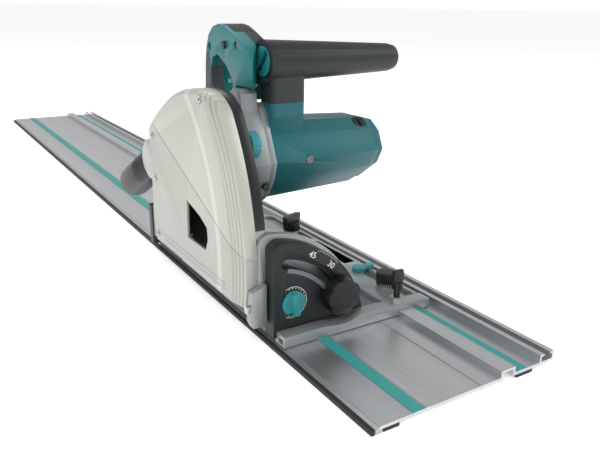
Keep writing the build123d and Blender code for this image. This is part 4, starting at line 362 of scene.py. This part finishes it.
castBase()
splinterEdge()
mouldedPlastic("tealPlastic", (0.0, 0.115, 0.135))
# grey pad at the back of the handle's left shell, outlines in (u, z)
handlePatches = (
    (((180, 180), (208, 178), (207, 226), (196, 232), (188, 214)), (0.045, 0.053, 0.056), 0.62),
)
zoned("handleTeal", (0.0, 0.165, 0.175), handlePatches)
# black rubber over the right shell's front and top
palmPatches = (
    (((101, 206), (150, 206), (176, 247), (176, 262), (101, 262)), (0.010, 0.013, 0.014), 0.6),
    (((172, 240), (192, 240), (192, 262), (172, 262)), (0.010, 0.013, 0.014), 0.6),
)
zoned("palmTeal", (0.0, 0.165, 0.175), palmPatches)
# the front grip's neck is a little paler than its barrel
gripPatches = ((((93, 180), (134, 180), (134, 213), (93, 213)), (0.020, 0.024, 0.025), 0.58),)
zoned("gripBlack", (0.008, 0.012, 0.013), gripPatches, 0.5, 0.05)
mouldedPlastic("tealBright", (0.015, 0.24, 0.26), 0.38, 2200, 0.08, 0.15)
mouldedPlastic("blackPlastic", (0.007, 0.008, 0.009), 0.36)
mouldedPlastic("bandPlastic", (0.006, 0.007, 0.008), 0.34, 1600, 0.06)
mouldedPlastic("glideStrip", (0.035, 0.30, 0.285), 0.5, 900, 0.10)
mouldedPlastic("fanPlastic", (0.40, 0.42, 0.38), 0.5)
mouldedPlastic("carbon", (0.02, 0.02, 0.02), 0.6)
gripRubber("gripRubber", (0.008, 0.012, 0.013))
gripRubber("stripRubber", (0.012, 0.013, 0.013), 0.7)
turnedSteel("brightSteel", (0.60, 0.60, 0.59))
turnedSteel("darkSteel", (0.16, 0.16, 0.165), 0.35)
turnedSteel("keySteel", (0.55, 0.55, 0.56), 0.2)
turnedSteel("coreSteel", (0.30, 0.29, 0.28), 0.4, (2500, 20, 20))
turnedSteel("copper", (0.72, 0.36, 0.20), 0.3, (20, 600, 600))
plainMark("whiteMark", (0.75, 0.76, 0.74))
print("finishes made:", len(finishes))


# mesh helpers
def newPiece(name, build, body, finish, smooth=40):
    mesh = bpy.data.meshes.new(name)
    build.normal_update()
    build.to_mesh(mesh)
    build.free()
    piece = bpy.data.objects.new(name, mesh)
    bpy.context.collection.objects.link(piece)
    mesh.materials.append(finishes[finish])
    settle(piece, smooth)
    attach(piece, body)
    return piece


def settle(piece, smooth=40):
    mesh = piece.data
    for face in mesh.polygons:
        face.use_smooth = True
    tidy = bmesh.new()
    tidy.from_mesh(mesh)
    for edge in tidy.edges:
        if len(edge.link_faces) == 2 and edge.calc_face_angle(0) > math.radians(smooth):
            edge.smooth = False
    tidy.to_mesh(mesh)
    tidy.free()


def bake(piece):
    graph = bpy.context.evaluated_depsgraph_get()
    made = bpy.data.meshes.new_from_object(piece.evaluated_get(graph))
    piece.modifiers.clear()
    piece.data = made
    return piece


def softened(node, finish, width, segments=2, angle=32):
    source = nodes[node]
    build = bmesh.new()
    build.from_mesh(source.data)
    bmesh.ops.remove_doubles(build, verts=build.verts, dist=0.00002)
    bmesh.ops.dissolve_limit(build, angle_limit=math.radians(1.0), verts=build.verts, edges=build.edges)
    mesh = bpy.data.meshes.new(node + "Soft")
    build.to_mesh(mesh)
    build.free()
    piece = bpy.data.objects.new(node + "Soft", mesh)
    bpy.context.collection.objects.link(piece)
    mesh.materials.clear()
    mesh.materials.append(finishes[finish])
    bevel = piece.modifiers.new("edge", "BEVEL")
    bevel.width = width / 1000
    bevel.segments = segments
    bevel.limit_method = "ANGLE"
    bevel.angle_limit = math.radians(angle)
    bevel.use_clamp_overlap = True
    bevel.miter_outer = "MITER_ARC"
    bake(piece)
    settle(piece, 38)
    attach(piece, frame["nodeBody"][node])
    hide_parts(node)
    return piece


bodies = frame["record"]["behaviour"]["bodies"]
frame["nodeBody"] = {node: body for body, members in bodies.items() for node in members}

# which finish each piece of the machine wears; a width in mm rounds its edges
pieceFinishes = {
    "guide_rail": ("railAluminium", 0), "splinter_strip": ("splinterRubber", 0),
    "glide_strips": ("glideStrip", 0), "grip_strips": ("stripRubber", 0),
    "base_plate": ("basePaint", 0.5), "front_quadrant": ("quadrantPaint", 0.9),
    "rear_quadrant": ("quadrantPaint", 0.7), "quadrant_screws": ("brightSteel", 0),
    "front_rail_knob": ("blackPlastic", 0.5), "rear_rail_knob": ("blackPlastic", 0.6),
    "anti_tip_lever": ("tealBright", 0.8), "fence_screw": ("blackPlastic", 0.4),
    "positive_stop_dial": ("tealBright", 0.7), "blade_cover": ("coverPaint", 1.1),
    "blade_case": ("coverPaint", 0.7),
    "depth_band": ("bandPlastic", 0.3), "front_tilt_bracket": ("bracketPaint", 0.8),
    "rear_tilt_bracket": ("bracketPaint", 0.8), "clamp_bolts": ("darkSteel", 0.3),
    "front_clamp_knob": ("blackPlastic", 1.2), "rear_clamp_knob": ("blackPlastic", 1.0),
    "cover_screws": ("brightSteel", 0), "pivot_shaft": ("brightSteel", 0.4),
    "return_spring": ("darkSteel", 0), "stopper_shoe": ("blackPlastic", 0.5),
    "stopper_knob": ("tealBright", 0.5), "dust_nozzle": ("blackPlastic", 0.6),
    "gear_housing": ("housingPaint", 0.8), "bearing_plate": ("housingPaint", 0.8),
    "motor_housing": ("tealPlastic", 2.2), "handle_left_shell": ("handleTeal", 3.0),
    "handle_right_shell": ("palmTeal", 3.0), "handle_overmould": ("gripRubber", 0.6),
    "front_grip": ("gripBlack", 1.5), "grip_disc": ("tealBright", 0.5), "hex_key": ("keySteel", 0.4),
    "brush_caps": ("blackPlastic", 0.5), "carbon_brushes": ("carbon", 0), "field_stator": ("coreSteel", 0),
    "armature_bearings": ("brightSteel", 0), "spindle_bearings": ("brightSteel", 0),
    "power_switch": ("blackPlastic", 0), "trigger": ("blackPlastic", 0.9),
    "lock_off_button": ("blackPlastic", 0.5), "speed_dial": ("blackPlastic", 0.5),
    "shaft_lock": ("blackPlastic", 0.4), "housing_screws": ("darkSteel", 0),
    "plunge_lever": ("tealBright", 0.7), "stop_pin": ("brightSteel", 0.6),
    "cord_inlet": ("stripRubber", 0.8),
    "saw_blade": ("bladeSteel", 0), "spindle": ("brightSteel", 0), "spindle_gear": ("brightSteel", 0),
    "inner_flange": ("darkSteel", 0), "outer_flange": ("darkSteel", 0.4), "blade_bolt": ("darkSteel", 0.4),
    "armature_shaft": ("brightSteel", 0), "armature_core": ("coreSteel", 0), "commutator": ("copper", 0),
    "cooling_fan": ("fanPlastic", 0),
}
for node, (finish, width) in pieceFinishes.items():
    source = nodes[node]
    source.data.materials.clear()
    source.data.materials.append(finishes[finish])
    if width:
        softened(node, finish, width)
print("machine pieces dressed")


# one tree lays copies of a small block round an arc; lengthSpread could vary them, on a fixed seed
def repeatTree():
    tree = bpy.data.node_groups.new("blocksOnArc", "GeometryNodeTree")
    face = tree.interface
    for name, kind, value in (("count", "NodeSocketInt", 12), ("radius", "NodeSocketFloat", 0.01),
                              ("start", "NodeSocketFloat", 0.0), ("sweep", "NodeSocketFloat", 6.0),
                              ("blockSize", "NodeSocketVector", (0.001, 0.001, 0.001)),
                              ("lengthSpread", "NodeSocketFloat", 0.0), ("seed", "NodeSocketInt", 7),
                              ("material", "NodeSocketMaterial", None)):
        socket = face.new_socket(name, in_out="INPUT", socket_type=kind)
        if value is not None:
            socket.default_value = value
    face.new_socket("mesh", in_out="OUTPUT", socket_type="NodeSocketGeometry")
    make, link = tree.nodes.new, tree.links.new
    given, result = make("NodeGroupInput"), make("NodeGroupOutput")
    arc, points = make("GeometryNodeCurveArc"), make("GeometryNodeCurveToPoints")
    points.mode = "EVALUATED"
    link(given.outputs["count"], arc.inputs["Resolution"])
    for theirs, ours in (("Radius", "radius"), ("Start Angle", "start"), ("Sweep Angle", "sweep")):
        link(given.outputs[ours], arc.inputs[theirs])
    link(arc.outputs["Curve"], points.inputs["Curve"])
    block, place = make("GeometryNodeMeshCube"), make("GeometryNodeInputPosition")
    link(given.outputs["blockSize"], block.inputs["Size"])
    aim = make("FunctionNodeAlignRotationToVector")
    aim.axis, aim.pivot_axis = "X", "Z"
    link(place.outputs[0], aim.inputs["Vector"])
    spread, least = make("FunctionNodeRandomValue"), make("ShaderNodeMath")
    least.operation = "SUBTRACT"
    least.inputs[0].default_value = 1.0
    link(given.outputs["lengthSpread"], least.inputs[1])
    spread.data_type = "FLOAT"
    link(least.outputs[0], spread.inputs[2])
    spread.inputs[3].default_value = 1.0
    link(given.outputs["seed"], spread.inputs["Seed"])
    stretch = make("ShaderNodeCombineXYZ")
    link(spread.outputs[1], stretch.inputs[0])
    stretch.inputs[1].default_value = 1.0
    stretch.inputs[2].default_value = 1.0
    lay = make("GeometryNodeInstanceOnPoints")
    real = make("GeometryNodeRealizeInstances")
    coat = make("GeometryNodeSetMaterial")
    link(points.outputs["Points"], lay.inputs["Points"])
    link(block.outputs["Mesh"], lay.inputs["Instance"])
    link(aim.outputs[0], lay.inputs["Rotation"])
    link(stretch.outputs[0], lay.inputs["Scale"])
    link(lay.outputs[0], real.inputs[0])
    link(real.outputs[0], coat.inputs["Geometry"])
    link(given.outputs["material"], coat.inputs["Material"])
    link(coat.outputs[0], result.inputs[0])
    return tree


arcTree = repeatTree()


def repeated(name, node, finish, place, across, up, settings):
    # blocks on an arc in the plane of the two directions, about place
    blank = bpy.data.meshes.new(name)
    piece = bpy.data.objects.new(name, blank)
    bpy.context.collection.objects.link(piece)
    modifier = piece.modifiers.new("blocks", "NODES")
    modifier.node_group = arcTree
    settings = dict(settings, material=finishes[finish])
    for item in arcTree.interface.items_tree:
        if item.in_out == "INPUT" and item.name in settings:
            modifier[item.identifier] = settings[item.name]
    bake(piece)
    across, up = Vector(across), Vector(up)
    turn = Matrix((across, up, across.cross(up))).transposed().to_4x4()
    piece.data.transform(Matrix.Translation(place) @ turn)
    settle(piece)
    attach(piece, frame["nodeBody"][node])
    return piece


def label(name, node, finish, words, place, across, up, size, depth=0.0002):
    curve = bpy.data.curves.new(name, "FONT")
    curve.body, curve.size, curve.extrude = words, size / 1000, depth
    curve.align_x, curve.align_y = "CENTER", "CENTER"
    draft = bpy.data.objects.new(name + "Draft", curve)
    bpy.context.collection.objects.link(draft)
    graph = bpy.context.evaluated_depsgraph_get()
    mesh = bpy.data.meshes.new_from_object(draft.evaluated_get(graph))
    bpy.data.objects.remove(draft)
    build = bmesh.new()
    build.from_mesh(mesh)
    bmesh.ops.remove_doubles(build, verts=build.verts, dist=0.000001)
    across, up = Vector(across), Vector(up)
    turn = Matrix((across, up, across.cross(up))).transposed().to_4x4()
    build.transform(Matrix.Translation(place) @ turn)
    bmesh.ops.recalc_face_normals(build, faces=build.faces)
    return newPiece(name, build, frame["nodeBody"][node], finish, 30)


# heights of the front quadrant's rim and of its sunk face, as u in mm
quadrantFaces = {"rim": 12.95, "sunk": 15.15}
markThickness = 0.0003

# degree scale on the front quadrant's rim, with the marks' sizes in mm and places in degrees
bevelScale = {"reach": 93.2, "tickFrom": 46, "tickTo": 61, "tickWidth": 0.35,
              "ticks": (("fineTicks", 16, 1.0), ("coarseTicks", 4, 1.8)),
              "numberReach": 87.0, "numberSize": 7.6, "numbers": (("45", 63.7), ("30", 48.7))}
for name, count, length in bevelScale["ticks"]:
    place = spot(0, quadrantFaces["rim"], 0)
    repeated(name, "front_quadrant", "whiteMark", place, (1, 0, 0), (0, 0, 1), {
        "count": count, "radius": (bevelScale["reach"] - length / 2) / 1000,
        "start": math.radians(bevelScale["tickFrom"]),
        "sweep": math.radians(bevelScale["tickTo"] - bevelScale["tickFrom"]),
        "blockSize": (length / 1000, bevelScale["tickWidth"] / 1000, markThickness)})
for words, angle in bevelScale["numbers"]:
    turn = math.radians(angle)
    across = (math.sin(turn), 0, -math.cos(turn))
    up = (math.cos(turn), 0, math.sin(turn))
    reach = bevelScale["numberReach"]
    place = spot(reach * math.cos(turn), quadrantFaces["rim"], reach * math.sin(turn))
    label("scaleNumber" + words, "front_quadrant", "whiteMark", words, place, across, up,
          bevelScale["numberSize"])

# a paler band on the sunk face, under the slot: radii and u heights in mm, angles in degrees
slotBand = {"radii": (67.5, 71.2), "heights": (15.19, 14.9), "from": 13, "to": 77, "steps": 48}
inner, outer = slotBand["radii"]
back, front = slotBand["heights"]
outline = ((inner, back), (outer, back), (outer, front), (inner, front))
build = bmesh.new()
rows = []
for step in range(slotBand["steps"] + 1):
    turn = math.radians(slotBand["from"] + (slotBand["to"] - slotBand["from"]) * step / slotBand["steps"])
    rows.append([build.verts.new(spot(reach * math.cos(turn), u, reach * math.sin(turn)))
                 for reach, u in outline])
for first, second in zip(rows, rows[1:]):
    for i in range(4):
        build.faces.new((first[i], first[(i + 1) % 4], second[(i + 1) % 4], second[i]))
build.faces.new(rows[0])
build.faces.new(rows[-1][::-1])
bmesh.ops.recalc_face_normals(build, faces=build.faces)
quadrantBody = frame["nodeBody"]["front_quadrant"]
newPiece("slotBand", build, quadrantBody, "scalePaint", 30)

# painted shade: cross recesses shown as dark bars on four of the cover's screws: places as (u, z) in mm,
# bars in metres
crossMarks = {"places": ((101, 199), (224.5, 148), (222, 105), (223, 43.5)), "lift": 0.00005,
              "armReach": 0.0009, "arm": (0.0018, 0.0008, markThickness), "turn": 0.4}
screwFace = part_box("cover_screws")[0][0] - crossMarks["lift"]
for number, (u, z) in enumerate(crossMarks["places"]):
    place = Vector((screwFace, sawFront + u / 1000, z / 1000))
    repeated(f"coverScrewCross{number}", "cover_screws", "bandPlastic", place, (0, 0, 1), (0, 1, 0), {
        "count": 4, "radius": crossMarks["armReach"], "start": crossMarks["turn"], "sweep": math.tau * 0.75,
        "blockSize": crossMarks["arm"]})

# rings round the positive-stop dial, in mm: name, count, reach, block size
dialRing = {"x": 20.5, "z": 38.0,
            "rings": (("dialDots", 24, 12.6, (0.9, 0.9, 0.3)), ("dialLine", 72, 14.0, (0.45, 1.2, 0.3)))}
for name, count, reach, size in dialRing["rings"]:
    place = spot(dialRing["x"], quadrantFaces["sunk"], dialRing["z"])
    repeated(name, "front_quadrant", "whiteMark", place, (1, 0, 0), (0, 0, 1), {
        "count": count, "radius": reach / 1000, "start": 0.0, "sweep": math.tau * (count - 1) / count,
        "blockSize": tuple(value / 1000 for value in size)})


# ribs round the knobs: axis direction, rib count, and rib size (out and along the rim in mm, share of depth)
knobRibs = {"front_clamp_knob": ("y", 30, (1.1, 1.0, 0.7)), "rear_clamp_knob": ("y", 24, (1.1, 1.0, 0.7)),
            "stopper_knob": ("x", 28, (0.8, 0.8, 0.7)), "front_rail_knob": ("z", 24, (0.8, 0.8, 0.6))}
ribSink = 0.0009  # how far each rib's middle lies inside the knob's rim, in metres
ribShare = 0.6
ribPlanes = {"x": ((0, 1, 0), (0, 0, 1)), "y": ((0, 0, 1), (1, 0, 0)), "z": ((1, 0, 0), (0, 1, 0))}
for node, (axis, count, size) in knobRibs.items():
    low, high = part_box(node)
    middle = [(a + b) / 2 for a, b in zip(low, high)]
    spans = [b - a for a, b in zip(low, high)]
    index = "xyz".index(axis)
    radius = min(spans[i] for i in range(3) if i != index) / 2
    across, up = ribPlanes[axis]
    repeated(node + "Ribs", node, pieceFinishes[node][0], Vector(middle), across, up, {
        "count": count, "radius": radius - ribSink, "start": 0.0, "sweep": math.tau * (count - 1) / count,
        "blockSize": (size[0] / 1000, size[1] / 1000, spans[index] * size[2] * ribShare)})
print("marks and ribs made")

# studio
studio = {"floorSize": 400.0, "floorTone": (0.94, 0.94, 0.94), "floorGlow": 0.42,
          "worldTone": (1.0, 1.0, 1.0), "horizonStrength": 1.05, "worldStrength": 0.55,
          "horizon": (0.03, 0.12), "keyPower": 40.0, "fillPower": 14.0, "rimPower": 16.0}
floorBuild = bmesh.new()
bmesh.ops.create_grid(floorBuild, x_segments=1, y_segments=1, size=studio["floorSize"] / 2)
floorMesh = bpy.data.meshes.new("floor")
floorBuild.to_mesh(floorMesh)
floorBuild.free()
floor = bpy.data.objects.new("floor", floorMesh)
bpy.context.collection.objects.link(floor)
floor.location = (0, 0, -0.0006)
floorFinish = Finish("floorPaper", studio["floorTone"], 0.0, 0.85)
floorFinish.shader.inputs["Emission Color"].default_value = (1, 1, 1, 1)
floorFinish.shader.inputs["Emission Strength"].default_value = studio["floorGlow"]
floorMesh.materials.append(floorFinish.material)

world = bpy.data.worlds.new("studio")
bpy.context.scene.world = world
world.use_nodes = True
world.node_tree.nodes["Background"].inputs[0].default_value = (*studio["worldTone"], 1)
sky = world.node_tree.nodes["Background"]
heading = world.node_tree.nodes.new("ShaderNodeTexCoord")
height = world.node_tree.nodes.new("ShaderNodeSeparateXYZ")
fade = world.node_tree.nodes.new("ShaderNodeMapRange")  # pale at the horizon, softer overhead
world.node_tree.links.new(heading.outputs["Generated"], height.inputs[0])
world.node_tree.links.new(height.outputs["Z"], fade.inputs[0])
fadeRange = (*studio["horizon"], studio["horizonStrength"], studio["worldStrength"])
for index, value in enumerate(fadeRange, 1):
    fade.inputs[index].default_value = value
world.node_tree.links.new(fade.outputs[0], sky.inputs[1])


def softbox(name, place, target, size, power, tone=(1, 1, 1)):
    lamp = bpy.data.lights.new(name, "AREA")
    lamp.shape = "RECTANGLE"
    lamp.size, lamp.size_y = size
    lamp.energy = power
    lamp.color = tone
    holder = bpy.data.objects.new(name, lamp)
    bpy.context.collection.objects.link(holder)
    holder.location = place
    holder.rotation_euler = (Vector(target) - Vector(place)).to_track_quat("-Z", "Y").to_euler()


middle = spot(40, 150, 110)
softbox("keyLight", (-1.5, -1.9, 2.3), middle, (1.6, 1.6), studio["keyPower"])
softbox("fillLight", (1.9, -1.5, 1.5), middle, (1.6, 1.2), studio["fillPower"])
softbox("rimLight", (0.3, 1.6, 2.2), middle, (2.0, 1.0), studio["rimPower"])

# camera
view = {"place": (-0.2370, -0.9830, 0.2741), "yaw": 32.14, "pitch": 18.75, "roll": 0.84, "lens": 38.71}
camera = bpy.data.objects.new("camera", bpy.data.cameras.new("camera"))
bpy.context.collection.objects.link(camera)
camera.data.lens = view["lens"]
camera.data.sensor_width = 36
camera.data.clip_start = 0.01
yaw, pitch, roll = (math.radians(view[name]) for name in ("yaw", "pitch", "roll"))
look = Vector((math.sin(yaw) * math.cos(pitch), math.cos(yaw) * math.cos(pitch), -math.sin(pitch)))
level = Vector((math.cos(yaw), -math.sin(yaw), 0))
up = level.cross(look)
right = level * math.cos(roll) + up * math.sin(roll)
up = up * math.cos(roll) - level * math.sin(roll)
turn = Matrix((right, up, -look)).transposed()
camera.matrix_world = Matrix.Translation(view["place"]) @ turn.to_4x4()
bpy.context.scene.camera = camera
bpy.context.scene.view_settings.view_transform = "Standard"
print("studio ready")
